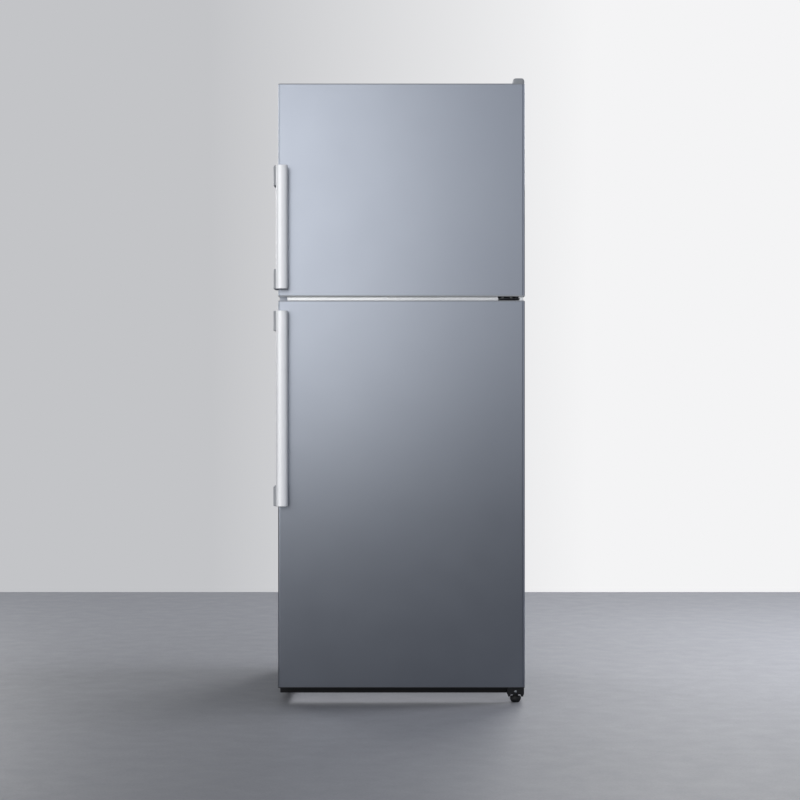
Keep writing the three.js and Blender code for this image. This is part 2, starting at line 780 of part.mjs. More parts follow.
/** Plan outline of a door body, inset from its skin, with rounded front corners. */
function doorPlan(inset, back) {
  const half = HALF - inset;
  const radius = DOOR_CORNER - inset;
  const [left, right, y] = [DOOR_CORNER - HALF, HALF - DOOR_CORNER, DOOR_FRONT + DOOR_CORNER];
  const plan = new THREE.Shape().moveTo(-half, back);
  plan.absarc(left, y, radius, Math.PI, 1.5 * Math.PI);
  plan.absarc(right, y, radius, 1.5 * Math.PI, 2 * Math.PI);
  return plan.lineTo(half, back);
}

/** Wrapped steel skin: front, sides and the folds behind them. */
function doorSkin({ name, bottom, top }) {
  const [left, right, y] = [DOOR_CORNER - HALF, HALF - DOOR_CORNER, DOOR_FRONT + DOOR_CORNER];
  const inner = DOOR_CORNER - SHEET;
  const fold = HALF - DOOR_FOLD;
  const plan = new THREE.Shape().moveTo(-fold, DOOR_BACK).lineTo(-HALF, DOOR_BACK);
  plan.absarc(left, y, DOOR_CORNER, Math.PI, 1.5 * Math.PI);
  plan.absarc(right, y, DOOR_CORNER, 1.5 * Math.PI, 2 * Math.PI);
  plan.lineTo(HALF, DOOR_BACK).lineTo(fold, DOOR_BACK);
  plan.lineTo(fold, DOOR_BACK - SHEET).lineTo(HALF - SHEET, DOOR_BACK - SHEET);
  plan.absarc(right, y, inner, 2 * Math.PI, 1.5 * Math.PI, true);
  plan.absarc(left, y, inner, 1.5 * Math.PI, Math.PI, true);
  plan.lineTo(SHEET - HALF, DOOR_BACK - SHEET).lineTo(-fold, DOOR_BACK - SHEET);
  return piece(name + "_skin", "stainless_steel", prismZ(plan, bottom, top));
}

/** Moulded end cap, bored for the hinge pin. */
function doorCap(name, z0, z1) {
  const plug = prismZ(doorPlan(SHEET + GAP, DOOR_BACK - LINER - GAP), z0, z1);
  const bore = post(HINGE.x, HINGE.y, z0 - 1, z1 + 1, HINGE.bore);
  return piece(name, "grey_plastic", cut(plug, bore));
}

/** Foam core between the end caps, relieved round the hinge pins. */
function doorFoam({ name, bottom, top }) {
  const [z0, z1] = [bottom + CAP + GAP, top - CAP - GAP];
  const core = prismZ(doorPlan(SHEET + GAP, DOOR_BACK - LINER - GAP), z0, z1);
  const relief = 8;
  const depth = 14;
  const pockets = [[z0 - 1, z0 + depth], [z1 - depth, z1 + 1]].map(([from, to]) =>
    post(HINGE.x, HINGE.y, from, to, relief, 8),
  );
  return piece(name + "_foam", "foam", cut(core, ...pockets));
}

/** Inner door panel with the raised frame that carries the bins. */
function doorLiner({ name, bottom, top }, room) {
  const half = HALF - DOOR_FOLD - GAP;
  const panel = box(-half, half, DOOR_BACK - LINER, DOOR_BACK, bottom + 0.5, top - 0.5);
  const [z0, z1] = [room.bottom + 8, room.top - 8];
  const { outer, wall, depth } = DYKE;
  const frame = cut(
    box(-outer, outer, DOOR_BACK - 1, DOOR_BACK + depth, z0, z1),
    box(wall - outer, outer - wall, DOOR_BACK, DOOR_BACK + depth + 1, z0 + wall, z1 - wall),
  );
  return piece(name + "_liner", "white_plastic", join(panel, frame));
}

/** Magnetic seal ring on the back of the door. */
function doorGasket({ name, bottom, top }, [z0, z1]) {
  const { outer, width } = SEAL;
  const [y0, y1] = [DOOR_BACK + GAP, CABINET_FRONT - GAP];
  const ring = cut(
    box(-outer, outer, y0, y1, z0, z1),
    box(width - outer, outer - width, y0 - 1, y1 + 1, z0 + width, z1 - width),
  );
  const groove = 4;
  const bellows = cut(
    ring,
    box(-outer - 1, outer + 1, y0 + 3, y0 + 3 + groove, z1 - 3, z1 + 1),
    box(-outer - 1, outer + 1, y0 + 3, y0 + 3 + groove, z0 - 1, z0 + 3),
    box(-outer - 1, 3 - outer, y0 + 3, y0 + 3 + groove, z0 - 1, z1 + 1),
    box(outer - 3, outer + 1, y0 + 3, y0 + 3 + groove, z0 - 1, z1 + 1),
  );
  return piece(name + "_gasket", "seal_rubber", bellows);
}

const HANDLE = { left: -333, right: -302, thickness: 20, block: 53, side: -340.5, foot: -262 };

/** Bar with a flat back and a full, rounded face. */
function handleBar(name, z0, z1) {
  const { left, right, thickness } = HANDLE;
  const back = -DEPTH / 2 + thickness;
  const steps = 14;
  const middle = (left + right) / 2;
  const half = (right - left) / 2;
  const corners = Array.from({ length: steps + 1 }, (_, i) => {
    const angle = (Math.PI * i) / steps;
    return [middle - half * Math.cos(angle), back - thickness * Math.sin(angle) ** 0.6];
  });
  return piece(name, "satin_aluminium", prismZ(corners, z0, z1));
}

/** End block that wraps the door's edge and is screwed to its side. */
function handleMount(name, z0, z1) {
  const { right, thickness, side, foot: end } = HANDLE;
  const face = -DEPTH / 2 + thickness + GAP;
  const clear = DOOR_CORNER + GAP;
  const corner = [DOOR_CORNER - HALF, DOOR_FRONT + DOOR_CORNER];
  const round = 7;
  const plan = new THREE.Shape().moveTo(right - 2, face).lineTo(right - 2, DOOR_FRONT - GAP);
  plan.absarc(...corner, clear, 1.5 * Math.PI, Math.PI, true);
  plan.lineTo(-HALF - GAP, end).lineTo(side + 5, end).lineTo(side, end - 16);
  plan.absarc(side + round, face + round, round, Math.PI, 1.5 * Math.PI);
  return piece(name, "grey_plastic", prismZ(plan, z0, z1));
}

/** Open topped bin that hangs between the sides of the raised frame. */
function doorBin(name, z0, height) {
  const { half, back, front, wall } = BIN;
  const tub = cut(
    box(-half, half, back, front, z0, z0 + height),
    box(wall - half, half - wall, back + wall, front - wall, z0 + wall, z0 + height + 1),
  );
  return piece(name, "clear_plastic", tub);
}

const DAIRY = { bottom: 815, height: 78, hingeY: -238, hingeZ: 903 };

/** Lid that covers the top and the upper front of the dairy bin. */
function dairyCover() {
  const { hingeY, hingeZ } = DAIRY;
  const front = BIN.front + GAP;
  const wall = 2.5;
  const corners = [
    [hingeY - 3, hingeZ - 1],
    [front, hingeZ - 1],
    [front, hingeZ - 50],
    [front + wall, hingeZ - 50],
    [front + wall, hingeZ - 3],
    [front - 2, hingeZ + 1.5],
    [hingeY - 3, hingeZ + 1.5],
  ];
  return piece("dairy_cover", "clear_plastic", prismX(corners, -BIN.half, BIN.half));
}

/** Pieces that both doors have. */
function door(body, room, seal, handle) {
  const { name, bottom, top } = body;
  const [z0, z1] = handle;
  return assembly(
    doorSkin(body),
    doorCap(name + "_bottom_cap", bottom, bottom + CAP),
    doorCap(name + "_top_cap", top - CAP, top),
    doorFoam(body),
    doorLiner(body, room),
    doorGasket(body, seal),
    handleBar(name + "_handle", z0, z1),
    handleMount(name + "_handle_lower_mount", z0, z0 + HANDLE.block),
    handleMount(name + "_handle_upper_mount", z1 - HANDLE.block, z1),
  );
}

function freezerDoor() {
  const seal = [FREEZER_DOOR.bottom + 8, FREEZER_DOOR.top - SEAL.inset];
  return door(FREEZER_DOOR, FREEZER_ROOM, seal, [1105, 1433]).add(
    doorBin("freezer_bin_lower", 1180, 100),
    doorBin("freezer_bin_upper", 1400, 100),
  );
}

function fridgeDoor() {
  const seal = [FRIDGE_DOOR.bottom + SEAL.inset, FRIDGE_DOOR.top - 8];
  return door(FRIDGE_DOOR, FRIDGE_ROOM, seal, [528, 1047]).add(
    doorBin("fridge_bin_lower", 140, 150),
    doorBin("fridge_bin_middle", 400, 100),
    doorBin("fridge_bin_upper", 610, 100),
    doorBin("dairy_bin", DAIRY.bottom, DAIRY.height),
    dairyCover(),
  );
}

// ---------------------------------------------------------------- whole appliance

const refrigerator = assembly(
  cabinet(),
  interior(),
  machineBay(),
  topHinge(),
  topHingeCover(),
  middleHinge(),
  bottomHinge(),
  freezerDoor(),
  fridgeDoor(),
);

export default refrigerator;
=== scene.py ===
"""Looks of a top freezer refrigerator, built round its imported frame.

Every length in the classes is in millimetres and becomes metres through MM. Each sub-assembly is a
class whose build method models its pieces, dresses them and sets them riding on their bodies.
"""
import json
import logging
import math
from collections.abc import Iterable, Mapping, Sequence
from dataclasses import dataclass
from enum import Enum

import bmesh
import bpy
from bmesh.types import BMEdge, BMFace, BMVert
from mathutils import Matrix, Vector

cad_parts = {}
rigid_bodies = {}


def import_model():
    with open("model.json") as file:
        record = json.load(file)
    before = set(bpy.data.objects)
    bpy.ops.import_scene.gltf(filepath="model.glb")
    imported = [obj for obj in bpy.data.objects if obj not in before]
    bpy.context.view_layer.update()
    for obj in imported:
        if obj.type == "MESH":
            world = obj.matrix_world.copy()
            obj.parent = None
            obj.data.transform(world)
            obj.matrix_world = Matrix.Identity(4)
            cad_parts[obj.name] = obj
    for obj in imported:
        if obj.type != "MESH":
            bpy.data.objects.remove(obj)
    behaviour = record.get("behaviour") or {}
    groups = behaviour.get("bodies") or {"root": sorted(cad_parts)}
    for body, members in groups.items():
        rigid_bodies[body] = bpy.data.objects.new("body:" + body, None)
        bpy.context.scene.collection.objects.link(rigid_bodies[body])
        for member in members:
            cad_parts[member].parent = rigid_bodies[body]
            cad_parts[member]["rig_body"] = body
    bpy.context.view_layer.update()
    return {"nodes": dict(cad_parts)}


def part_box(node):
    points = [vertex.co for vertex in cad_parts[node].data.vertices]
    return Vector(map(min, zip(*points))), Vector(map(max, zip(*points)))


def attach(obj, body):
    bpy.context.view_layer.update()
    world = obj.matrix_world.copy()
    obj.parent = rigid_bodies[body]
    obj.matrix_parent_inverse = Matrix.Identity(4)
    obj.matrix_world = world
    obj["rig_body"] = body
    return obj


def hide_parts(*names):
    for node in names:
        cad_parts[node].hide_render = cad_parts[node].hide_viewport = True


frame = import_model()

MM = 0.001
Point = tuple[float, float]
log = logging.getLogger("refrigerator")


class Axis(Enum):
    """Direction that an outline is drawn out along."""

    X = 0
    Y = 1
    Z = 2

    def place(self, u: float, v: float, w: float) -> Vector:
        """Point of an outline at (u, v), w along the axis.

        Args:
            u: First coordinate of the outline.
            v: Second coordinate of the outline.
            w: Distance along the axis.

        Returns:
            The point in the row frame.
        """
        return Vector({Axis.X: (w, u, v), Axis.Y: (u, w, v), Axis.Z: (u, v, w)}[self])

    def unit(self) -> Vector:
        """Unit vector along the axis."""
        return self.place(0, 0, 1)


# ---------------------------------------------------------------- finishes


def linear(code: str) -> tuple[float, float, float, float]:
    """Linear RGBA of an sRGB hex code.

    Args:
        code: Six hex digits.

    Returns:
        Linear red, green and blue, and an alpha of 1.
    """
    parts = [int(code[i : i + 2], 16) / 255 for i in (0, 2, 4)]
    red, green, blue = (p / 12.92 if p <= 0.04045 else ((p + 0.055) / 1.055) ** 2.4 for p in parts)
    return red, green, blue, 1.0


def add_node(
    tree: bpy.types.NodeTree,
    kind: str,
    settings: Mapping[str | int, object] | None = None,
    links: Mapping[str | int, bpy.types.NodeSocket] | None = None,
) -> bpy.types.Node:
    """Adds a node with its settings and its incoming links.

    Args:
        tree: Node tree that it goes in.
        kind: Node type.
        settings: Value for each input socket or attribute.
        links: Output socket that feeds each input socket.

    Returns:
        The node.
    """
    node = tree.nodes.new(kind)
    for key, value in (settings or {}).items():
        if isinstance(key, str) and hasattr(node, key):
            setattr(node, key, value)
        else:
            node.inputs[key].default_value = value
    for key, source in (links or {}).items():
        tree.links.new(source, node.inputs[key])
    return node


class Pattern(Enum):
    """What the fine surface of a finish is made of."""

    LINES = "drawn or brushed lines"
    PEBBLE = "moulded or sprayed pebble"
    SPANGLE = "zinc crystals"


@dataclass(frozen=True)
class Finish:
    """A surface as it was made, turned into a procedural material.

    The colour drifts to the shade over blotches a hand wide; the pattern's grain gives the roughness
    and the relief their detail.
    """

    name: str
    slot: str
    colour: str
    shade: str
    roughness: float
    metallic: float = 0.0
    ior: float = 1.5
    transmission: float = 0.0
    coat: float = 0.0
    sheen: float = 0.0
    pattern: Pattern = Pattern.PEBBLE
    grain: tuple[float, float, float] = (1.5, 1.5, 1.5)
    relief: float = 0.02
    blotch: float = 220.0
    gloss_spread: float = 0.06

    def material(self) -> bpy.types.Material:
        """The material, made once and shared by the pieces that wear it."""
        known = bpy.data.materials.get(self.name)
        if known:
            return known
        made = bpy.data.materials.new(self.name)
        made.use_nodes = True
        tree = made.node_tree
        tree.nodes.clear()
        uniform = {
            "Metallic": self.metallic,
            "IOR": self.ior,
            "Transmission Weight": self.transmission,
            "Coat Weight": self.coat,
            "Sheen Weight": self.sheen,
        }
        if self.metallic > 0.5:
            del uniform["IOR"]
        place = add_node(tree, "ShaderNodeTexCoord").outputs["Object"]
        colour = self._colour(tree, place)
        fine = self._fine(tree, place)
        gloss = self._gloss(tree, place, fine)
        bump = add_node(
            tree, "ShaderNodeBump", {"Strength": 1.0, "Distance": self.relief * MM}, {"Height": fine}
        )
        shader = add_node(
            tree,
            "ShaderNodeBsdfPrincipled",
            uniform,
            {"Base Color": colour, "Roughness": gloss, "Normal": bump.outputs["Normal"]},
        )
        add_node(tree, "ShaderNodeOutputMaterial", links={"Surface": shader.outputs["BSDF"]})
        return made

    def _colour(self, tree: bpy.types.NodeTree, place: bpy.types.NodeSocket) -> bpy.types.NodeSocket:
        """Base colour that drifts softly between the two tones."""
        drift = add_node(
            tree, "ShaderNodeTexNoise", {"Scale": 1 / (self.blotch * MM), "Detail": 3.0}, {"Vector": place}
        )
        mixed = add_node(
            tree,
            "ShaderNodeMix",
            {"data_type": "RGBA", 6: linear(self.colour), 7: linear(self.shade)},
            {0: drift.outputs["Fac"]},
        )
        return mixed.outputs[2]

    def _fine(self, tree: bpy.types.NodeTree, place: bpy.types.NodeSocket) -> bpy.types.NodeSocket:
        """Height of the fine pattern, one grain to a unit."""
        scale = [1 / (size * MM) for size in self.grain]
        grid = add_node(tree, "ShaderNodeMapping", {"Scale": scale}, {"Vector": place}).outputs["Vector"]
        if self.pattern is Pattern.LINES:
            lines = add_node(tree, "ShaderNodeTexNoise", {"Scale": 1.0, "Detail": 2.0}, {"Vector": grid})
            return lines.outputs["Fac"]
        feature = "SMOOTH_F1" if self.pattern is Pattern.PEBBLE else "F1"
        cells = add_node(
            tree, "ShaderNodeTexVoronoi", {"feature": feature, "Scale": 1.0}, {"Vector": grid}
        )
        return cells.outputs["Distance" if self.pattern is Pattern.PEBBLE else "Color"]

    def _gloss(
        self, tree: bpy.types.NodeTree, place: bpy.types.NodeSocket, fine: bpy.types.NodeSocket
    ) -> bpy.types.NodeSocket:
        """Roughness that follows the grain and faint handling marks."""
        marks = add_node(
            tree, "ShaderNodeTexNoise", {"Scale": 1 / (70 * MM), "Detail": 4.0}, {"Vector": place}
        )
        both = add_node(
            tree,
            "ShaderNodeMix",
            {"data_type": "FLOAT", 0: 0.35},
            {2: marks.outputs["Fac"], 3: fine},
        )
        low, high = self.roughness - self.gloss_spread, self.roughness + self.gloss_spread
        spread = add_node(
            tree,
            "ShaderNodeMapRange",
            {"From Min": 0.3, "From Max": 0.7, "To Min": max(low, 0.02), "To Max": high},
            {"Value": both.outputs[0]},
        )
        return spread.outputs["Result"]


# Cold rolled stainless sheet, brushed across: satin and bluish, the lines far finer than they show.
STAINLESS = Finish(
    "brushed_stainless_sheet", "stainless_steel", "a9afba", "a5abb7", 0.3, metallic=1.0,
    pattern=Pattern.LINES, grain=(40.0, 2.0, 0.5), relief=0.001, gloss_spread=0.01,
)
# Stoved polyester paint on rolled sheet: a faint pebble that softens every reflection.
PAINTED_STEEL = Finish(
    "stoved_paint_on_steel", "painted_steel", "8f939a", "888c93", 0.42, grain=(1.6, 1.6, 1.6),
    relief=0.035,
)
# Hot dipped zinc: pale crystals with edges that catch the light.
GALVANISED = Finish(
    "hot_dipped_zinc_on_steel", "galvanised_steel", "abb0b5", "9da3a9", 0.4, metallic=0.9,
    pattern=Pattern.SPANGLE, grain=(9.0, 9.0, 9.0), relief=0.004, gloss_spread=0.05,
)
# Black powder coat: dense satin with an orange peel.
BLACK_STEEL = Finish(
    "powder_coat_on_steel", "black_steel", "141518", "1b1c20", 0.38, grain=(1.2, 1.2, 1.2), relief=0.03
)
# Extruded, bead blasted and anodised aluminium: the milky oxide scatters, so it stays an even white.
ANODISED = Finish(
    "blasted_anodised_aluminium", "satin_aluminium", "f0f1f3", "eaebee", 0.5, metallic=0.3,
    grain=(0.4, 0.4, 0.4), relief=0.002, gloss_spread=0.03,
)
# Bright rolled strip over the rail between the doors.
BRIGHT_TRIM = Finish(
    "bright_rolled_steel_trim", "stainless_steel", "e6e8eb", "dee1e5", 0.22, metallic=1.0,
    pattern=Pattern.LINES, grain=(60.0, 4.0, 1.0), relief=0.0005, gloss_spread=0.02,
)
# Mill finish aluminium fin stock.
FIN_STOCK = Finish(
    "rolled_aluminium_fins", "satin_aluminium", "c9ccd0", "bcbfc4", 0.35, metallic=1.0,
    pattern=Pattern.LINES, grain=(0.5, 6.0, 30.0), relief=0.002,
)
# Moulded ABS in silver grey with a spark eroded satin.
GREY_ABS = Finish(
    "moulded_grey_abs", "grey_plastic", "b6b9bd", "b0b3b8", 0.4, ior=1.54, grain=(0.9, 0.9, 0.9),
    relief=0.012,
)
# Pale grey ABS from a polished mould, for the lower end caps.
GLOSS_ABS = Finish(
    "polished_mould_grey_abs", "grey_plastic", "d6d9dc", "d0d3d7", 0.06, ior=1.54,
    grain=(3.0, 3.0, 3.0), relief=0.001, gloss_spread=0.02,
)
# Cap over the floor in painted shade: ABS coloured dark and dull so that it reads as the shadow there.
SHADED_CAP_ABS = Finish(
    "moulded_abs_in_painted_shade", "grey_plastic", "2b2c30", "26272a", 0.5, ior=1.54, grain=(0.9, 0.9, 0.9),
    relief=0.012,
)
# Pressed steel under a thin grey phosphate: dark, dull and slightly mottled.
PHOSPHATED = Finish(
    "phosphated_steel_pressing", "black_steel", "4a4c50", "3c3e42", 0.34, metallic=0.7, blotch=25.0,
    grain=(1.0, 1.0, 1.0), relief=0.01,
)
# Vacuum formed high impact polystyrene: white with a soft gloss.
WHITE_LINER = Finish(
    "vacuum_formed_white_polystyrene", "white_plastic", "eceef0", "e6e9ec", 0.28, ior=1.59,
    grain=(2.4, 2.4, 2.4), relief=0.02,
)
# Clear moulded polystyrene for bins and drawers.
CRYSTAL = Finish(
    "moulded_crystal_polystyrene", "clear_plastic", "f4f8fa", "eef5f8", 0.07, ior=1.45,
    transmission=0.95, grain=(3.0, 3.0, 3.0), relief=0.006, gloss_spread=0.03,
)
# Toughened float glass, faintly green.
SHELF_GLASS = Finish(
    "toughened_float_glass", "glass", "e4f1ec", "dcece6", 0.04, ior=1.52, transmission=0.96,
    grain=(30.0, 30.0, 30.0), relief=0.004, gloss_spread=0.02,
)
# Extruded soft PVC seal, matt.
SEAL_PVC = Finish(
    "extruded_soft_pvc", "seal_rubber", "c3c5c9", "babcc0", 0.6, ior=1.52, sheen=0.1,
    grain=(1.0, 1.0, 1.0), relief=0.01,
)
# Moulded black polypropylene, matt from its glass filling.
BLACK_PP = Finish(
    "moulded_black_polypropylene", "black_plastic", "17181a", "1d1e21", 0.5, ior=1.49,
    grain=(0.9, 0.9, 0.9), relief=0.015,
)
# Rigid polyurethane foam, cellular and pale.
FOAM = Finish(
    "poured_polyurethane_foam", "foam", "e4d8aa", "d9c994", 0.9, grain=(1.5, 1.5, 1.5), relief=0.3
)
# Baked black enamel on pressed steel.
ENAMEL = Finish(
    "baked_black_enamel", "black_enamel", "101113", "17181b", 0.25, coat=0.3, grain=(2.0, 2.0, 2.0),
    relief=0.02,
)
# Drawn copper tube, dulled by handling.
COPPER = Finish(
    "drawn_copper_tube", "black_enamel", "b87350", "8f5a42", 0.3, metallic=1.0, blotch=30.0,
    pattern=Pattern.LINES, grain=(3.0, 3.0, 3.0), relief=0.005,
)
# Zinc plated fasteners, bright and slightly yellow.
ZINC_PLATE = Finish(
    "zinc_plated_screws", "galvanised_steel", "c2c4c2", "b3b5b4", 0.25, metallic=1.0,
    pattern=Pattern.LINES, grain=(0.6, 0.6, 0.6), relief=0.002,
)
# Frosted polycarbonate over the lamp.
LAMP_LENS = Finish(
    "frosted_polycarbonate", "white_plastic", "f6f7f4", "f0f2ee", 0.35, ior=1.58, transmission=0.35,
    grain=(0.8, 0.8, 0.8), relief=0.02,
)


# ---------------------------------------------------------------- modelling


def span(node: str) -> tuple[Vector, Vector]:
    """Lowest and highest corner of a frame node, in metres."""
    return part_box(node)


class Shape:
    """A bmesh being modelled, with the operations that this appliance's pieces need."""

    def __init__(self) -> None:
        """Starts empty."""
        self.bm = bmesh.new()

    def bevel(self, edges: Iterable[BMEdge], radius: float, segments: int) -> None:
        """Rounds edges.

        Args:
            edges: Edges to round.
            radius: Radius, in metres.
            segments: Steps in each rounded edge.
        """
        bmesh.ops.bevel(
            self.bm, geom=list(edges), offset=radius, segments=segments, profile=0.5,
            affect="EDGES", material=-1, clamp_overlap=True,
        )

    def block(self, low: Vector, high: Vector, radius: float = 0.0, segments: int = 3) -> "Shape":
        """Adds a block with rounded edges.

        Args:
            low: Lowest corner, in metres.
            high: Highest corner, in metres.
            radius: Edge radius, in metres.
            segments: Steps in each rounded edge.

        Returns:
            The shape, for chaining.
        """
        low, high = Vector(low), Vector(high)
        place = Matrix.LocRotScale((low + high) / 2, None, high - low)
        made = bmesh.ops.create_cube(self.bm, size=1.0, matrix=place)
        if radius:
            self.bevel({e for v in made["verts"] for e in v.link_edges}, radius, segments)
        return self

    def rod(
        self, start: Vector, end: Vector, radius: float, sides: int = 20, tip: float | None = None,
        edge: float = 0.0,
    ) -> "Shape":
        """Adds a round bar between two points.

        Args:
            start: Centre of one end.
            end: Centre of the other end.
            radius: Radius at the start.
            sides: Faces round it.
            tip: Radius at the end, if it tapers.
            edge: Radius of the rounded rims.

        Returns:
            The shape, for chaining.
        """
        start, end = Vector(start), Vector(end)
        along = end - start
        turn = along.to_track_quat("Z", "Y")
        made = bmesh.ops.create_cone(
            self.bm, cap_ends=True, cap_tris=False, segments=sides, radius1=radius,
            radius2=radius if tip is None else tip, depth=along.length,
            matrix=Matrix.LocRotScale((start + end) / 2, turn, None),
        )
        if edge:
            every = {e for v in made["verts"] for e in v.link_edges}
            rims = {e for e in every if any(len(f.verts) > 4 for f in e.link_faces)}
            self.bevel(rims, edge, 2)
        return self

    def turned(self, profile: Sequence[Point], centre: Vector, axis: Axis, steps: int = 32) -> "Shape":
        """Adds a body spun round an axis.

        Args:
            profile: (radius, height) points, in metres, from one pole to the other.
            centre: Point on the axis at height 0.
            axis: Direction of the axis.
            steps: Steps in the full turn.

        Returns:
            The shape, for chaining.
        """
        side = Axis.X.unit() if axis is not Axis.X else Axis.Y.unit()
        up = axis.unit()
        verts = [self.bm.verts.new(Vector(centre) + side * r + up * h) for r, h in profile]
        edges = [self.bm.edges.new(pair) for pair in zip(verts, verts[1:])]
        bmesh.ops.spin(
            self.bm, geom=verts + edges, cent=centre, axis=up, angle=2 * math.pi, steps=steps,
            use_merge=True,
        )
        return self

    def prism(
        self, corners: Sequence[Point], axis: Axis, start: float, end: float, radius: float = 0.0,
        segments: int = 3, ends_only: bool = False,
    ) -> "Shape":
        """Adds an outline drawn out along an axis.

        Args:
            corners: Outline, in metres.
            axis: Direction that it is drawn along.
            start: Where it starts.
            end: Where it ends.
            radius: Edge radius.
            segments: Steps in each rounded edge.
            ends_only: Rounds only the rims of the two end faces.

        Returns:
            The shape, for chaining.
        """
        verts = [self.bm.verts.new(axis.place(u, v, start)) for u, v in corners]
        face = self.bm.faces.new(verts)
        made = bmesh.ops.extrude_face_region(self.bm, geom=[face], use_keep_orig=True)
        moved = [g for g in made["geom"] if isinstance(g, BMVert)]
        bmesh.ops.translate(self.bm, verts=moved, vec=axis.unit() * (end - start))
        if radius:
            rims = {e for group in (verts, moved) for v in group for e in v.link_edges}
            if ends_only:
                rims = {e for e in rims if abs((e.verts[0].co - e.verts[1].co).dot(axis.unit())) < 1e-9}
            self.bevel(rims, radius, segments)
        return self

    def sheet(
        self, corners: Sequence[Point], axis: Axis, start: float, end: float, bends: Sequence[float],
        inside: Vector, segments: int = 6,
    ) -> "Shape":
        """Adds a sheet folded along an open outline, its faces turned away from the inside.

        Args:
            corners: Open outline, in metres.
            axis: Direction of the folds.
            start: Where the sheet starts.
            end: Where the sheet ends.
            bends: Radius at each corner between the first and the last.
            inside: A point on the hollow side.
            segments: Steps in each bend.

        Returns:
            The shape, for chaining.
        """
        verts = [self.bm.verts.new(axis.place(u, v, start)) for u, v in corners]
        edges = [self.bm.edges.new(pair) for pair in zip(verts, verts[1:])]
        made = bmesh.ops.extrude_edge_only(self.bm, edges=edges)
        moved = [g for g in made["geom"] if isinstance(g, BMVert)]
        bmesh.ops.translate(self.bm, verts=moved, vec=axis.unit() * (end - start))
        folds = [next(e for e in v.link_edges if e not in edges) for v in verts[1:-1]]
        for radius in sorted(set(bends)):
            self.bevel([e for e, r in zip(folds, bends) if r == radius], radius, segments)
        return self.away_from(inside)

    def away_from(self, point: Vector) -> "Shape":
        """Turns each face so that it looks away from a point.

        Args:
            point: The point on the hollow side.

        Returns:
            The shape, for chaining.
        """
        self.bm.normal_update()
        wrong = [f for f in self.bm.faces if f.normal.dot(f.calc_center_median() - Vector(point)) < 0]
        bmesh.ops.reverse_faces(self.bm, faces=wrong)
        return self

    def tray(self, low: Vector, high: Vector, corner: float, foot: float, open_side: Vector) -> "Shape":
        """Adds a box that is open on one side, with rounded corners.

        Args:
            low: Lowest corner.
            high: Highest corner.
            corner: Radius of the walls' corners.
            foot: Radius where walls meet the floor.
            open_side: Unit vector out of the open side.

        Returns:
            The shape, for chaining.
        """
        low, high = Vector(low), Vector(high)
        place = Matrix.LocRotScale((low + high) / 2, None, high - low)
        made = bmesh.ops.create_cube(self.bm, size=1.0, matrix=place)
        faces = {f for v in made["verts"] for f in v.link_faces}
        self.bm.normal_update()
        lid = [f for f in faces if f.normal.dot(open_side) > 0.9]
        bmesh.ops.delete(self.bm, geom=lid, context="FACES_ONLY")
        edges = [e for e in {e for v in made["verts"] for e in v.link_edges} if len(e.link_faces) == 2]
        upright = [
            e for e in edges if abs((e.verts[0].co - e.verts[1].co).normalized().dot(open_side)) > 0.9
        ]
        self.bevel(upright, corner, 5)
        lower = [e for e in self.bm.edges if len(e.link_faces) == 2 and e.calc_face_angle(0) > 1.2]
        self.bevel(lower, foot, 4)
        return self

    def bolt(self, centre: Vector, out: Vector, radius: float) -> "Shape":
        """Adds a hexagon head on its washer.

        Args:
            centre: Point on the surface that it is driven into.
            out: Unit vector out of that surface.
            radius: Radius over the washer.

        Returns:
            The shape, for chaining.
        """
        centre, out = Vector(centre), Vector(out)
        self.rod(centre, centre + out * radius * 0.2, radius, 24, edge=radius * 0.05)
        rise = centre + out * radius * 0.2
        return self.rod(rise, rise + out * radius * 0.55, radius * 0.74, 6, edge=radius * 0.08)

    def to_piece(
        self, name: str, finish: Finish, body: str, replaces: Sequence[str] = (), wall: float = 0.0,
        rim: float = 0.0, angle: float = 32.0, oriented: bool = False,
    ) -> bpy.types.Object:
        """Finishes the bmesh as a named piece that rides on a body.

        Args:
            name: Piece name.
            finish: What its surface is.
            body: Body that it moves with.
            replaces: Frame nodes that it stands for.
            wall: Thickness given to an open sheet, inwards, in metres.
            rim: Radius of the edges that the wall leaves.
            angle: Edges sharper than this stay sharp, in degrees.
            oriented: Keeps the faces as they are turned.

        Returns:
            The piece.
        """
        bmesh.ops.remove_doubles(self.bm, verts=self.bm.verts, dist=1e-6)
        if not oriented:
            bmesh.ops.recalc_face_normals(self.bm, faces=self.bm.faces)
        mesh = bpy.data.meshes.new(name)
        self.bm.to_mesh(mesh)
        self.bm.free()
        piece = bpy.data.objects.new(name, mesh)
        bpy.context.scene.collection.objects.link(piece)
        if wall:
            thick = piece.modifiers.new("wall", "SOLIDIFY")
            thick.thickness, thick.offset, thick.use_even_offset = wall, -1.0, True
        if rim:
            round_off = piece.modifiers.new("rim", "BEVEL")
            round_off.width, round_off.segments, round_off.limit_method = rim, 2, "ANGLE"
            round_off.angle_limit = math.radians(50)
        if wall or rim:
            applied = piece.evaluated_get(bpy.context.evaluated_depsgraph_get())
            piece.data = bpy.data.meshes.new_from_object(applied)
            piece.data.name = name
            piece.modifiers.clear()
            bpy.data.meshes.remove(mesh)
        piece.data.materials.clear()
        piece.data.materials.append(finish.material())
        piece.data.shade_smooth()
        piece.data.set_sharp_from_angle(angle=math.radians(angle))
        flat = piece.modifiers.new("flat_faces", "WEIGHTED_NORMAL")
        flat.keep_sharp, flat.weight = True, 100
        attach(piece, body)
        if replaces:
            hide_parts(*replaces)
        log.info("%s: %d faces on %s", name, len(piece.data.polygons), body)
        return piece


def dress(node: str, finish: Finish) -> None:
    """Gives a frame node that shows as it is its finish.

    Args:
        node: Frame node.
        finish: What its surface is.
    """
    target = frame["nodes"][node]
    target.data.materials.clear()
    target.data.materials.append(finish.material())


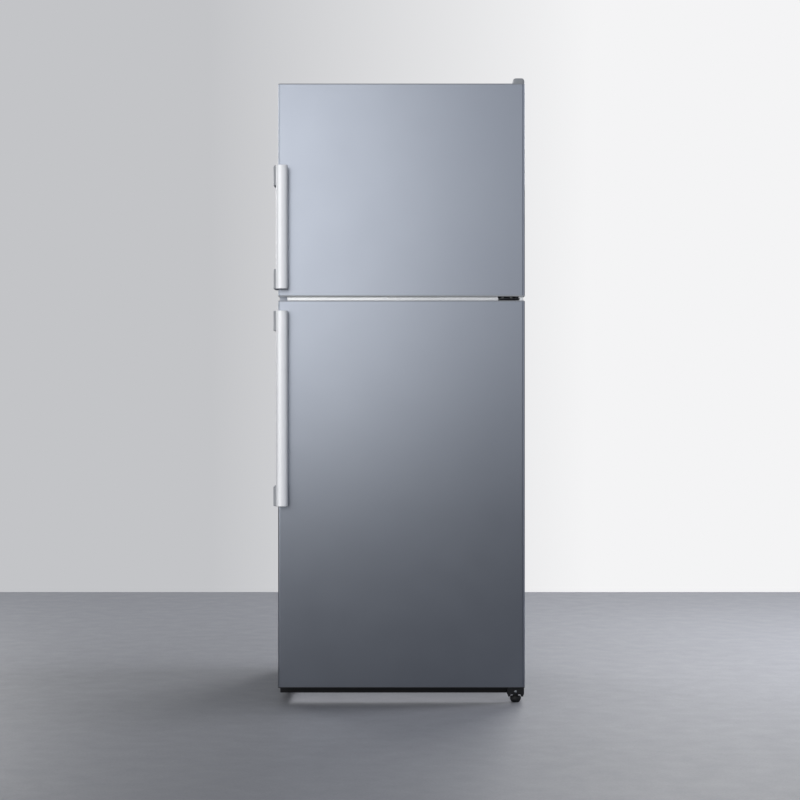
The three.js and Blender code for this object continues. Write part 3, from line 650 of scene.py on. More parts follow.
def soften(node: str, finish: Finish, radius: float, segments: int = 2) -> bpy.types.Object:
    """A merged copy of a frame node with its edges rounded, which stands for the node.

    Args:
        node: Frame node.
        finish: What its surface is.
        radius: Edge radius, in millimetres.
        segments: Steps in each rounded edge.

    Returns:
        The piece.
    """
    source = frame["nodes"][node]
    shape = Shape()
    shape.bm.from_mesh(source.data)
    bmesh.ops.remove_doubles(shape.bm, verts=shape.bm.verts, dist=1e-6)
    bmesh.ops.dissolve_limit(
        shape.bm, angle_limit=math.radians(1), use_dissolve_boundaries=False,
        verts=shape.bm.verts, edges=shape.bm.edges, delimit={"NORMAL"},
    )
    sharp = [e for e in shape.bm.edges if e.is_manifold and e.calc_face_angle(0) > math.radians(38)]
    shape.bevel(sharp, radius * MM, segments)
    return shape.to_piece(f"{node}_finished", finish, source["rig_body"], [node])


def flush_screws(
    spots: Sequence[Point], face: float, radius: float, head: float, sides: int, name: str
) -> None:
    """Makes flat headed screws that are sunk to a face at the back.

    Args:
        spots: Place of each in (x, z), in metres.
        face: Plane of the face along Y.
        radius: Head radius.
        head: Depth of the head behind the face.
        sides: Number of sides of the head.
        name: Piece name.
    """
    sunk = 0.1 * MM
    screws = Shape()
    for x, z in spots:
        screws.rod((x, face - head, z), (x, face - sunk, z), radius, sides, edge=0.4 * MM)
    screws.to_piece(name, ZINC_PLATE, "cabinet")


# ---------------------------------------------------------------- cabinet


@dataclass
class Cabinet:
    """Outer sheets, rails, foam and the two formed liners."""

    bend: float = 2.5
    sheet: float = 1.0
    flange: float = 40.0
    rear_flange: float = 25.0
    room_half: float = 284.0
    room_corner: float = 14.0
    step_y: float = 143.0
    step_z: float = 277.0
    fridge_room: tuple[float, float] = (105.0, 1040.0)
    freezer_room: tuple[float, float] = (1122.0, 1592.0)
    room_back: float = 295.0
    shelf_span: tuple[float, float] = (-130.0, 270.0)
    fridge_shelves: tuple[float, ...] = (780.0, 560.0, 325.0)
    freezer_shelf: float = 1350.0
    freezer_shelf_back: float = 200.0
    trim_levels: tuple[float, float] = (1068.5, 1094.5)
    trim_lean: float = 1.6
    trim_start: float = 21.0
    trim_inset: float = 0.8
    trim_clear: float = 0.5
    skim: float = 0.2
    top_fold_half: float = 289.7
    rear_fields: int = 5
    rear_border: float = 26.0
    rear_slope: float = 5.0
    rear_press: float = 0.7
    screw_inset: float = 12.0
    screw_ends: float = 50.0
    screw_radius: float = 4.0
    screws_a_side: int = 6
    flange_reach: float = 1.6
    ledge: tuple[float, float] = (10.0, 8.0)
    guide: tuple[float, float] = (18.0, 30.0)
    boss_y: tuple[float, float] = (-190.0, -150.0)
    boss_wall: float = 7.5
    bezel_y: tuple[float, float] = (-192.5, -189.5)
    bezel_wall: float = 2.2
    bezel_clear: float = 0.4
    liner_wall: float = 1.8
    play: float = 0.3

    def build(self) -> None:
        """Models and dresses the cabinet."""
        self._side("left_side_panel", -1)
        self._side("right_side_panel", 1)
        self._top()
        self._back()
        soften("mullion_rail", PAINTED_STEEL, 0.4)
        self._trim()
        soften("base_rail", BLACK_STEEL, 0.5)
        dress("bottom_deck", GALVANISED)
        dress("cabinet_foam", FOAM)
        self._fridge_liner()
        self._freezer_liner()

    def _trim(self) -> None:
        """Bright strips over the rail on both sides of the middle hinge."""
        hinge_low, hinge_high = span("middle_hinge")
        left, right = span("left_side_panel")[0].x, span("right_side_panel")[1].x
        low, high = (level * MM for level in self.trim_levels)
        gap, inset, clear = self.skim * MM, self.trim_inset * MM, self.trim_clear * MM
        back = span("left_side_panel")[0].y - gap
        section = [(back, low), (back, high), (back - self.trim_lean * MM, high), (back - gap, low)]
        start = left + self.trim_start * MM
        strip = Shape()
        for x0, x1 in ((start, hinge_low.x - clear), (hinge_high.x + clear, right - inset)):
            strip.prism(section, Axis.X, x0, x1)
        strip.to_piece("mullion_rail_trim", BRIGHT_TRIM, "cabinet")
        end = Shape().block((left + inset, back - 3 * gap, low), (start - clear, back, high))
        end.to_piece("mullion_rail_end", STAINLESS, "cabinet")

    def _side(self, node: str, side: int) -> None:
        """Side sheet folded round the front and the back.

        Args:
            node: Frame node of the sheet.
            side: -1 on the left, 1 on the right.
        """
        low, high = span(node)
        outer = high.x if side > 0 else low.x
        corners = [
            (outer - side * self.flange * MM, low.y),
            (outer, low.y),
            (outer, high.y),
            (outer - side * self.rear_flange * MM, high.y),
        ]
        inside = Vector((outer - side * 0.02, (low.y + high.y) / 2, (low.z + high.z) / 2))
        shape = Shape().sheet(corners, Axis.Z, low.z, high.z, [self.bend * MM] * 2, inside)
        shape.to_piece(f"{node}_sheet", PAINTED_STEEL, "cabinet", [node], self.sheet * MM, oriented=True)

    def _top(self) -> None:
        """Top sheet with its rolled edges and front fold."""
        low, high = span("top_panel")
        thick = self.sheet * MM
        plate = Shape().block((low.x, low.y, high.z - thick), high, radius=thick * 0.45, segments=3)
        half = self.top_fold_half * MM
        plate.block((-half, low.y, low.z), (half, low.y + thick, high.z - thick * 0.5))
        plate.to_piece("top_panel_sheet", PAINTED_STEEL, "cabinet", ["top_panel"])

    def _back(self) -> None:
        """Rear sheet with pressed fields between stiffening ribs."""
        low, high = span("back_panel")
        depth = (high.y - low.y) * self.rear_press
        shape = Shape().block(low, high)
        for i in range(1, self.rear_fields):
            level = low.z + (high.z - low.z) * i / self.rear_fields
            everything = [*shape.bm.verts, *shape.bm.edges, *shape.bm.faces]
            bmesh.ops.bisect_plane(
                shape.bm, geom=everything, plane_co=(0, 0, level), plane_no=(0, 0, 1)
            )
        shape.bm.normal_update()
        outer = [f for f in shape.bm.faces if f.normal.y > 0.9]
        bmesh.ops.inset_individual(shape.bm, faces=outer, thickness=self.rear_border * MM)
        bmesh.ops.inset_individual(shape.bm, faces=outer, thickness=self.rear_slope * MM, depth=-depth)
        shape.to_piece("back_panel_sheet", GALVANISED, "cabinet", ["back_panel"])
        inset, ends, last = self.screw_inset * MM, self.screw_ends * MM, self.screws_a_side - 1
        spots = [
            (x, low.z + ends + (high.z - low.z - 2 * ends) * i / last)
            for x in (low.x + inset, high.x - inset) for i in range(self.screws_a_side)
        ]
        flush_screws(spots, high.y, self.screw_radius * MM, 1.2 * MM, 16, "back_panel_screws")

    def _room(self, side: Sequence[Point], front: float) -> Shape:
        """Rounded inner surface of a compartment, open at the front, seen from inside.

        Args:
            side: Outline in (y, z), in millimetres, that starts and ends on the front plane.
            front: Front plane, in metres.

        Returns:
            The shape, faces turned inwards.
        """
        corners = [(y * MM, z * MM) for y, z in side]
        half = self.room_half * MM
        shape = Shape().prism(corners, Axis.X, -half, half)
        bm = shape.bm
        bmesh.ops.recalc_face_normals(bm, faces=bm.faces)
        mouth = [f for f in bm.faces if all(abs(v.co.y - front) < 1e-6 for v in f.verts)]
        bmesh.ops.delete(bm, geom=mouth, context="FACES_ONLY")
        edges = [e for e in bm.edges if len(e.link_faces) == 2 and e.calc_face_angle(0) > 0.5]
        shape.bevel(edges, self.room_corner * MM, 5)
        bmesh.ops.remove_doubles(bm, verts=bm.verts, dist=1e-6)
        bmesh.ops.recalc_face_normals(bm, faces=bm.faces)
        middle = Vector((0, 0, (corners[0][1] + corners[-1][1]) / 2))
        bm.normal_update()
        outward = sum(f.normal.dot(f.calc_center_median() - middle) * f.calc_area() for f in bm.faces)
        if outward > 0:
            bmesh.ops.reverse_faces(bm, faces=bm.faces)
        return shape

    def _flange(self, shape: Shape, low: Vector, high: Vector) -> None:
        """Spreads the mouth of a room into the flat flange round it.

        Args:
            shape: Room, open at the front.
            low: Lowest corner of the liner's box.
            high: Highest corner of the liner's box.
        """
        bm = shape.bm
        rim = [e for e in bm.edges if e.is_boundary]
        made = bmesh.ops.extrude_edge_only(bm, edges=rim)
        middle = (low + high) / 2
        for vert in (g for g in made["geom"] if isinstance(g, BMVert)):
            across = (vert.co.x - middle.x) * self.flange_reach
            upward = (vert.co.z - middle.z) * self.flange_reach
            vert.co.x = max(low.x, min(high.x, middle.x + across))
            vert.co.z = max(low.z, min(high.z, middle.z + upward))

    def _ledges(
        self, shape: Shape, level: float, y0: float, y1: float, size: tuple[float, float]
    ) -> None:
        """Adds the pair of ledges that carry a shelf, all in millimetres.

        Args:
            shape: Shape that they are added to.
            level: Height of their tops.
            y0: Where they start.
            y1: Where they end.
            size: Width and height of each.
        """
        width, height = size
        for side in (-1, 1):
            x0, x1 = sorted((side * (self.room_half + 1), side * (self.room_half - width)))
            shape.block(Vector((x0, y0, level - height)) * MM, Vector((x1, y1, level)) * MM, 2.5 * MM)

    def _fridge_liner(self) -> None:
        """Fridge compartment with its step, ledges, drawer guides and switch boss."""
        low, high = span("fridge_liner")
        bottom, top = self.fridge_room
        front = low.y / MM
        side = [
            (front, bottom), (self.step_y, bottom), (self.step_y, self.step_z),
            (self.room_back, self.step_z), (self.room_back, top), (front, top),
        ]
        room = self._room(side, low.y)
        self._flange(room, low, high)
        wall = self.liner_wall * MM
        room.to_piece("fridge_liner_shell", WHITE_LINER, "cabinet", ["fridge_liner"], wall, oriented=True)
        parts = Shape()
        for level in self.fridge_shelves:
            self._ledges(parts, level - self.play, *self.shelf_span, self.ledge)
        self._ledges(parts, bottom + self.guide[1], self.shelf_span[0] + 20, self.step_y, self.guide)
        switch_low, switch_high = span("light_switch")
        boss, (y0, y1) = self.boss_wall * MM, self.boss_y
        parts.block(
            (switch_low.x - boss, y0 * MM, switch_low.z - boss),
            (switch_high.x + boss, y1 * MM, (top + 1) * MM),
            3 * MM,
        )
        parts.to_piece("fridge_liner_ledges", WHITE_LINER, "cabinet")
        self._mouth_of_switch(switch_low, switch_high)

    def _mouth_of_switch(self, low: Vector, high: Vector) -> None:
        """Bezel that the lamp switch plunger slides in.

        Args:
            low: Lowest corner of the plunger.
            high: Highest corner of the plunger.
        """
        bezel = Shape()
        wall, clear = self.bezel_wall * MM, self.bezel_clear * MM
        y0, y1 = (y * MM for y in self.bezel_y)
        left, right, bottom, top = low.x - wall, high.x + wall, low.z - wall, high.z + wall
        for x0, x1, z0, z1 in (
            (left, right, high.z + clear, top), (left, right, bottom, low.z - clear),
            (left, low.x - clear, bottom, top), (high.x + clear, right, bottom, top),
        ):
            bezel.block((x0, y0, z0), (x1, y1, z1), 0.4 * MM, 2)
        bezel.to_piece("light_switch_bezel", GREY_ABS, "cabinet")

    def _freezer_liner(self) -> None:
        """Freezer compartment with the ledges of its shelf."""
        low, high = span("freezer_liner")
        bottom, top = self.freezer_room
        front = low.y / MM
        side = [(front, bottom), (self.room_back, bottom), (self.room_back, top), (front, top)]
        room = self._room(side, low.y)
        self._flange(room, low, high)
        wall = self.liner_wall * MM
        room.to_piece("freezer_liner_shell", WHITE_LINER, "cabinet", ["freezer_liner"], wall, oriented=True)
        parts = Shape()
        shelf = self.freezer_shelf - self.play
        self._ledges(parts, shelf, self.shelf_span[0], self.freezer_shelf_back, self.ledge)
        parts.to_piece("freezer_liner_ledges", WHITE_LINER, "cabinet")


# ---------------------------------------------------------------- inside


@dataclass
class FreezerInterior:
    """Evaporator behind its cover, the fan and the wire shelf."""

    wires: int = 27
    wire: float = 1.6
    rod: float = 2.8
    middle_rod: float = 30.0
    side_gap: float = 8.0
    end_gap: float = 0.8

    def build(self) -> None:
        """Models and dresses what is in the freezer."""
        soften("evaporator_cover", WHITE_LINER, 0.8)
        dress("evaporator", FIN_STOCK)
        soften("evaporator_fan", BLACK_PP, 0.4)
        self._shelf()

    def _shelf(self) -> None:
        """Plastic coated wire shelf: wires laid over three straight cross rods."""
        low, high = span("freezer_shelf")
        rod, wire = self.rod * MM, self.wire * MM
        shape = Shape()
        for y in (low.y + rod, self.middle_rod * MM, high.y - rod):
            shape.rod((low.x, y, low.z + rod), (high.x, y, low.z + rod), rod, 12, edge=0.6 * MM)
        top = low.z + 2 * rod - wire * 0.2
        gap, end = self.side_gap * MM, self.end_gap * MM
        for i in range(self.wires):
            x = low.x + gap + (high.x - low.x - 2 * gap) * i / (self.wires - 1)
            shape.rod((x, low.y + end, top), (x, high.y - end, top), wire, 8)
        shape.to_piece("freezer_shelf_wires", WHITE_LINER, "cabinet", ["freezer_shelf"])


@dataclass
class FridgeInterior:
    """Glass shelves, drawers, control housing, dial and lamp."""

    pane: float = 4.0
    pane_lift: float = 1.0
    pane_inset: float = 4.0
    trim: float = 14.0
    trim_height: float = 8.0
    rear_stop: float = 6.0
    rail: float = 9.0
    rail_height: float = 6.4
    drawer_corner: float = 14.0
    drawer_wall: float = 2.3
    drawer_front: float = 10.0
    grip: float = 22.0
    nose: float = 4.0
    slope: float = 12.0
    lens_x: tuple[float, float] = (-70.0, 40.0)
    lens_margin: float = 30.0
    lens_drop: float = 3.5
    marks: int = 7
    mark_step: float = 40.0
    mark_reach: float = 15.5
    dial: float = 5.0
    dial_chamfer: tuple[float, float] = (1.2, 1.5)
    dial_grip: float = 2.6

    def build(self) -> None:
        """Models and dresses what is in the fridge."""
        for node in ("upper_shelf", "middle_shelf", "crisper_cover"):
            self._shelf(node)
        for node, body in (("crisper_left", "left_drawer"), ("crisper_right", "right_drawer")):
            self._drawer(node, body)
        self._controls()
        self._knob()
        soften("light_switch", WHITE_LINER, 1.2, 3)

    def _shelf(self, node: str) -> None:
        """Glass pane held by a front trim, a rear stop and two side rails.

        Args:
            node: Frame node of the shelf.
        """
        low, high = span(node)
        inset, base = self.pane_inset * MM, low.z + self.pane_lift * MM
        pane = Shape().block(
            (low.x + inset, low.y + inset, base), (high.x - inset, high.y - 3 * MM, base + self.pane * MM),
            0.8 * MM,
        )
        pane.to_piece(f"{node}_pane", SHELF_GLASS, "cabinet", [node])
        trim = Shape()
        bottom = low.z + 0.2 * MM
        front = (high.x, low.y + self.trim * MM, low.z + self.trim_height * MM)
        trim.block((low.x, low.y, bottom), front, 2.6 * MM, 5)
        trim.block((low.x, high.y - self.rear_stop * MM, bottom), high, 1.6 * MM, 4)
        rail, top = self.rail * MM, low.z + self.rail_height * MM
        for x0, x1 in ((low.x, low.x + rail), (high.x - rail, high.x)):
            trim.block((x0, low.y + 8 * MM, bottom), (x1, high.y - 3 * MM, top), 1.4 * MM)
        trim.to_piece(f"{node}_trim", WHITE_LINER, "cabinet")

    def _drawer(self, node: str, body: str) -> None:
        """Clear tub with rounded corners and a grip along its front.

        Args:
            node: Frame node of the drawer.
            body: Body that it moves with.
        """
        low, high = span(node)
        front = low.y + self.drawer_front * MM
        tub = Shape().tray(
            Vector((low.x, front, low.z)), high, self.drawer_corner * MM, 10 * MM, Axis.Z.unit()
        )
        tub.to_piece(f"{node}_tub", CRYSTAL, body, [node], self.drawer_wall * MM, rim=0.7 * MM)
        x0, x1, top = low.x + 1 * MM, high.x - 1 * MM, high.z - 0.4 * MM
        grip = Shape().block((x0, low.y, high.z - self.grip * MM), (x1, low.y + 3 * MM, top), 1.3 * MM, 4)
        grip.block((x0, low.y, high.z - 3 * MM), (x1, front + 4 * MM, top), 1.3 * MM, 4)
        grip.to_piece(f"{node}_grip", WHITE_LINER, body)

    def _controls(self) -> None:
        """Housing under the ceiling with the dial's marks and the lamp lens."""
        low, high = span("control_housing")
        nose, slope = self.nose * MM, self.slope * MM
        profile = [
            (low.y, high.z), (low.y, low.z + nose), (low.y + slope, low.z), (high.y - slope, low.z),
            (high.y, low.z + slope), (high.y, high.z),
        ]
        body = Shape().prism(profile, Axis.X, low.x, high.x, 3 * MM, 4)
        body.to_piece("control_housing_moulding", WHITE_LINER, "cabinet", ["control_housing"])
        (x0, x1), margin, drop = self.lens_x, self.lens_margin * MM, self.lens_drop * MM
        lens = Shape().block(
            (x0 * MM, low.y + margin, low.z - drop), (x1 * MM, high.y - margin, low.z + nose), 3.2 * MM, 5
        )
        lens.to_piece("lamp_lens", LAMP_LENS, "cabinet")
        dial_low, dial_high = span("thermostat_knob")
        centre = (dial_low + dial_high) / 2
        marks, reach = Shape(), self.mark_reach * MM
        for i in range(self.marks):
            angle = math.radians(self.mark_step * (i - (self.marks - 1) / 2))
            x, z = centre.x + reach * math.sin(angle), centre.z + reach * math.cos(angle)
            radius = (0.35 + 0.08 * i) * MM
            marks.rod((x, low.y + 1 * MM, z), (x, low.y - 0.4 * MM, z), radius, 12)
        marks.to_piece("thermostat_marks", GREY_ABS, "cabinet")

    def _knob(self) -> None:
        """Dial with a chamfered rim and a raised grip."""
        low, high = span("thermostat_knob")
        centre = (low + high) / 2
        radius, height = (high.x - low.x) / 2, self.dial * MM
        across, down = (size * MM for size in self.dial_chamfer)
        outline = [(0, 0), (radius, 0), (radius, height - down), (radius - across, height), (0, height)]
        base = Vector((centre.x, high.y - height, centre.z))
        knob = Shape().turned(outline, base, Axis.Y, 48)
        grip = self.dial_grip * MM
        knob.block(
            (centre.x - grip, low.y, low.z + down), (centre.x + grip, high.y - 3 * MM, high.z - down),
            1.4 * MM, 4,
        )
        knob.to_piece("thermostat_dial", GREY_ABS, "knob", ["thermostat_knob"])


# ---------------------------------------------------------------- machine bay and feet


@dataclass
class MachineBay:
    """Compressor, condenser, base plate, rear cover, cord inlet, feet and rollers."""

    tube: float = 3.3
    bend: float = 12.0
    passes: int = 6
    wires: int = 12
    wire: float = 0.8
    can_x: float = 170.0
    can_feet: tuple[float, float] = (36.0, 60.0)
    can_reach: float = 88.0
    relay_half: float = 24.0
    relay_z: tuple[float, float] = (52.0, 108.0)
    mounts: tuple[float, float] = (74.0, 48.0)
    cover_screws_x: float = 120.0
    cover_screw: float = 4.2
    ribs: int = 10
    thread_pitch: float = 1.25

    def build(self) -> None:
        """Models and dresses the bay and what the cabinet stands on."""
        soften("base_plate", GALVANISED, 0.5)
        soften("rear_cover", GALVANISED, 0.25)
        soften("cord_inlet", BLACK_PP, 0.8)
        self._compressor()
        self._condenser()
        self._cover_screws()
        for node, body in (("foot_left", "left_foot"), ("foot_right", "right_foot")):
            self._foot(node, body)
        for node, body in (("roller_left", "left_roller"), ("roller_right", "right_roller")):
            self._roller(node, body)

    def _compressor(self) -> None:
        """Two pressed halves welded round the middle, on feet, with a relay box and copper stubs."""
        low, high = span("compressor")
        x, y, floor = self.can_x * MM, (low.y + high.y) / 2, low.z
        profile = [
            (0, 6), (30, 6), (50, 9), (62, 17), (69, 30), (71, 44), (71, 86), (74, 89), (74.0, 93), (71, 96),
            (70, 110), (66, 126), (57, 139), (42, 148), (22, 152.4), (0, 153),
        ]
        can = Shape().turned([(r * MM, z * MM) for r, z in profile], Vector((x, y, floor)), Axis.Z, 56)
        reach = self.can_reach * MM
        for side in (-1, 1):
            near, far = sorted(y + side * edge * MM for edge in self.can_feet)
            can.block((x - reach, near, floor), (x + reach, far, floor + 4 * MM), 1.2 * MM)
        can.block((x - 0.03, y - 0.06, floor), (x + 0.03, y + 0.06, floor + 9 * MM), 1.5 * MM)
        can.to_piece("compressor_can", ENAMEL, "cabinet", ["compressor"])
        half, (z0, z1) = self.relay_half * MM, self.relay_z
        relay = Shape().block(
            (low.x, y - half, floor + z0 * MM), (x - 0.062, y + half, floor + z1 * MM), 4 * MM, 4
        )
        relay.to_piece("compressor_relay_box", BLACK_PP, "cabinet")
        grommets, (across, along), rise = Shape(), self.mounts, Vector((0, 0, 6 * MM))
        for side in (-1, 1):
            for end in (-1, 1):
                spot = Vector((x + side * across * MM, y + end * along * MM, floor + 4 * MM))
                grommets.rod(spot, spot + rise, 9 * MM, 24, edge=1.5 * MM)
                grommets.bolt(spot + rise, Axis.Z.unit(), 6 * MM)
        grommets.to_piece("compressor_grommets", BLACK_PP, "cabinet")
        stubs = Shape()
        for dx, dz in ((30, 100), (-20, 75), (45, 60)):
            root = Vector((x + dx * MM, y + 0.06, floor + dz * MM))
            stubs.rod(root, root + Axis.Y.unit() * 20 * MM, 3 * MM, 16, edge=0.5 * MM)
        stubs.to_piece("compressor_stubs", COPPER, "cabinet")

    def _condenser(self) -> None:
        """Serpentine tube between upright wires."""
        low, high = span("condenser")
        tube, bend = self.tube * MM, self.bend * MM
        y = high.y - 3.4 * MM
        x0, x1 = low.x + bend + 3.4 * MM, high.x - bend - 3.4 * MM
        bottom = low.z + 6 * MM
        curve = bpy.data.curves.new("condenser_route", "CURVE")
        curve.dimensions, curve.bevel_depth, curve.bevel_resolution = "3D", tube, 3
        curve.use_fill_caps = True
        points: list[Vector] = []
        for i in range(self.passes):
            level = bottom + 2 * bend * i
            ends = (x0, x1) if i % 2 == 0 else (x1, x0)
            points += [Vector((ends[0], y, level)), Vector((ends[1], y, level))]
            if i < self.passes - 1:
                side = 1 if i % 2 == 0 else -1
                for step in range(1, 10):
                    angle = math.pi * (step / 10 - 0.5)
                    across = side * bend * math.cos(angle)
                    points.append(Vector((ends[1] + across, y, level + bend * (1 + math.sin(angle)))))
        spline = curve.splines.new("POLY")
        spline.points.add(len(points) - 1)
        for point, where in zip(spline.points, points):
            point.co = (*where, 1.0)
        source = bpy.data.objects.new("condenser_route", curve)
        bpy.context.scene.collection.objects.link(source)
        shape = Shape()
        mesh = bpy.data.meshes.new_from_object(source.evaluated_get(bpy.context.evaluated_depsgraph_get()))
        shape.bm.from_mesh(mesh)
        bpy.data.objects.remove(source)
        wire, inset, over = self.wire * MM, 8 * MM, 6 * MM
        end = bottom + 2 * bend * (self.passes - 1) + over
        for i in range(self.wires):
            x = x0 + inset + (x1 - x0 - 2 * inset) * i / (self.wires - 1)
            for face in (y - tube - wire, y + tube * 0.9):
                shape.rod((x, face, bottom - over), (x, face, end), wire, 8)
        shape.to_piece("condenser_coil", ENAMEL, "cabinet", ["condenser"])

    def _cover_screws(self) -> None:
        """Screws round the rear cover, sunk to its face."""
        low, high = span("rear_cover")
        inset, middle = 14 * MM, self.cover_screws_x * MM
        spots = [
            (x, z) for x in (low.x + inset, -middle, middle, high.x - inset)
            for z in (low.z + inset, high.z - 12 * MM)
        ]
        flush_screws(spots, high.y, self.cover_screw * MM, 1.4 * MM, 18, "rear_cover_screws")

    def _foot(self, node: str, body: str) -> None:
        """Levelling foot: cupped pad, ribbed rim and threaded stud.

        Args:
            node: Frame node of the foot.
            body: Body that it turns with.
        """
        low, high = span(node)
        centre = Vector(((low.x + high.x) / 2, (low.y + high.y) / 2, 0))
        profile = [
            (0, 0), (10.2, 0), (10.8, 0.6), (12.4, 3.4), (14.2, 6.2), (14.5, 7.6), (14.5, 13.6),
            (13.8, 15.2), (12.9, 15.6), (7, 15.6), (7, 20.4), (6.4, 21), (5, 21),
        ]
        z = 21.0
        while z < 32:
            profile += [(4.4, z + 0.2), (5.0, z + 0.75)]
            z += self.thread_pitch
        profile += [(4.6, 33.6), (4, 34), (0, 34)]
        foot = Shape().turned([(r * MM, h * MM) for r, h in profile], centre, Axis.Z, 40)
        for i in range(self.ribs):
            turn = 2 * math.pi * i / self.ribs
            spot = centre + Vector((math.cos(turn), math.sin(turn), 0)) * 13.7 * MM
            foot.rod(spot + Vector((0, 0, 0.0082)), spot + Vector((0, 0, 0.0132)), 0.75 * MM, 8)
        foot.to_piece(f"{node}_pad", BLACK_PP, body, [node])

    def _roller(self, node: str, body: str) -> None:
        """Rear roller with a crowned tread.

        Args:
            node: Frame node of the roller.
            body: Body that it turns with.
        """
        low, high = span(node)
        centre = (low + high) / 2
        half = (high.x - low.x) / 2
        radius = (high.z - low.z) / 2
        bore, crown, edge = 3.5 * MM, radius - 1.2 * MM, radius - 2.8 * MM
        profile = [
            (bore, -half), (edge, -half), (crown, -half * 0.8), (radius, -half * 0.35),
            (radius, half * 0.35), (crown, half * 0.8), (edge, half), (bore, half), (bore, -half),
        ]
        wheel = Shape().turned(profile, centre, Axis.X, 40)
        wheel.to_piece(f"{node}_wheel", BLACK_PP, body, [node])


# ---------------------------------------------------------------- hinges


@dataclass
class Hinges:
    """Brackets, pins and bolts that carry the doors, and the cover over the top one."""

    plate: float = 3.0
    pin: float = 4.5
    pin_at: tuple[float, float] = (310.0, -272.0)
    cover_step: float = -232.0
    cover_round: float = 8.0
    cover_wall: float = 1.4
    arch_floor: float = 22.0
    arch_leg: float = 7.0
    arch_flare: float = 3.0
    arch_heel: float = 8.0
    top_bolts_y: tuple[float, float] = (-205.0, -170.0)
    top_bolts_z: float = 1655.3
    middle_bolts_x: tuple[float, float] = (273.5, 297.5)
    middle_bolts_z: float = 1087.5
    rivet_z: float = 29.5

    def build(self) -> None:
        """Models and dresses the hinges."""
        soften("top_hinge", GALVANISED, 0.6)
        soften("middle_hinge", PHOSPHATED, 0.7)
        self._cover()
        self._bottom()
        self._bolts()

    def _cover(self) -> None:
        """Moulded cover with a domed roof and rounded front."""
        low, high = span("top_hinge_cover")
        top_z = span("top_panel")[1].z + 0.3 * MM
        door_z = span("freezer_door_top_cap")[1].z + 1 * MM
        step = self.cover_step * MM
        profile = [
            (low.y, door_z), (step, door_z), (step, top_z), (high.y, top_z), (high.y, high.z),
            (low.y, high.z),
        ]
        shape = Shape().prism(profile, Axis.X, low.x, high.x)
        bm = shape.bm
        under = [f for f in bm.faces if all(v.co.z < door_z + 1e-5 for v in f.verts)]
        bmesh.ops.delete(bm, geom=under, context="FACES_ONLY")
        roof = [e for e in bm.edges if all(v.co.z > high.z - 1e-6 for v in e.verts)]
        uprights = [
            e for e in bm.edges
            if len(e.link_faces) == 2 and abs(e.verts[0].co.z - e.verts[1].co.z) > 0.01
        ]
        shape.bevel(roof + uprights, self.cover_round * MM, 7)
        shape.away_from(Vector(((low.x + high.x) / 2, (low.y + high.y) / 2, low.z)))
        shape.to_piece(
            "top_hinge_cover_moulding", GREY_ABS, "cabinet", ["top_hinge_cover"], self.cover_wall * MM,
            oriented=True,
        )

    def _bottom(self) -> None:
        """Bracket whose two arched plates straddle the foot, joined by a floor, a roof and the pin."""
        low, high = span("bottom_hinge")
        top = span("fridge_door_bottom_cap")[0].z - 0.7 * MM
        floor, leg, plate = self.arch_floor * MM, self.arch_leg * MM, self.plate * MM
        flare, heel = self.arch_flare * MM, low.z + self.arch_heel * MM
        left = [(low.x, top), (low.x, heel), (low.x + flare, low.z), (low.x + leg, low.z)]
        left.append((low.x + leg + flare, floor))
        arch = left + [(low.x + high.x - x, z) for x, z in reversed(left)]
        shape = Shape().prism(arch, Axis.Y, low.y, low.y + plate, 0.8 * MM)
        shape.prism(arch, Axis.Y, high.y - plate, high.y, 0.8 * MM)
        side, end = 0.2 * MM, 0.4 * MM
        for z in (top - plate, floor):
            shape.block(
                (low.x + side, low.y + end, z), (high.x - side, high.y - end, z + plate), 0.8 * MM
            )
        x, y = (place * MM for place in self.pin_at)
        shape.rod((x, y, top - 1 * MM), (x, y, high.z), self.pin * MM, 28, edge=0.8 * MM)
        shape.to_piece("bottom_hinge_bracket", BLACK_STEEL, "cabinet", ["bottom_hinge"])

    def _bolts(self) -> None:
        """Bolts of the top and middle hinges and the rivet of the bottom one."""
        top_low, top_high = span("top_hinge")
        face = span("middle_hinge")[1].y - 3 * MM
        bolts = Shape()
        for y in self.top_bolts_y:
            spot = ((top_low.x + top_high.x) / 2, y * MM, self.top_bolts_z * MM)
            bolts.bolt(spot, Axis.Z.unit(), 6 * MM)
        for x in self.middle_bolts_x:
            bolts.bolt((x * MM, face, self.middle_bolts_z * MM), -Axis.Y.unit(), 3.4 * MM)
        bolts.to_piece("hinge_bolts", ZINC_PLATE, "cabinet")
        low, high = span("bottom_hinge")
        head = [(0, -0.9), (2.2, -0.7), (3.4, 0.0), (3.4, 0.6), (0, 0.6)]
        centre = Vector(((low.x + high.x) / 2, low.y, self.rivet_z * MM))
        rivet = Shape().turned([(r * MM, h * MM) for r, h in head], centre, Axis.Y, 28)
        rivet.to_piece("bottom_hinge_rivet", GALVANISED, "cabinet")


# ---------------------------------------------------------------- doors


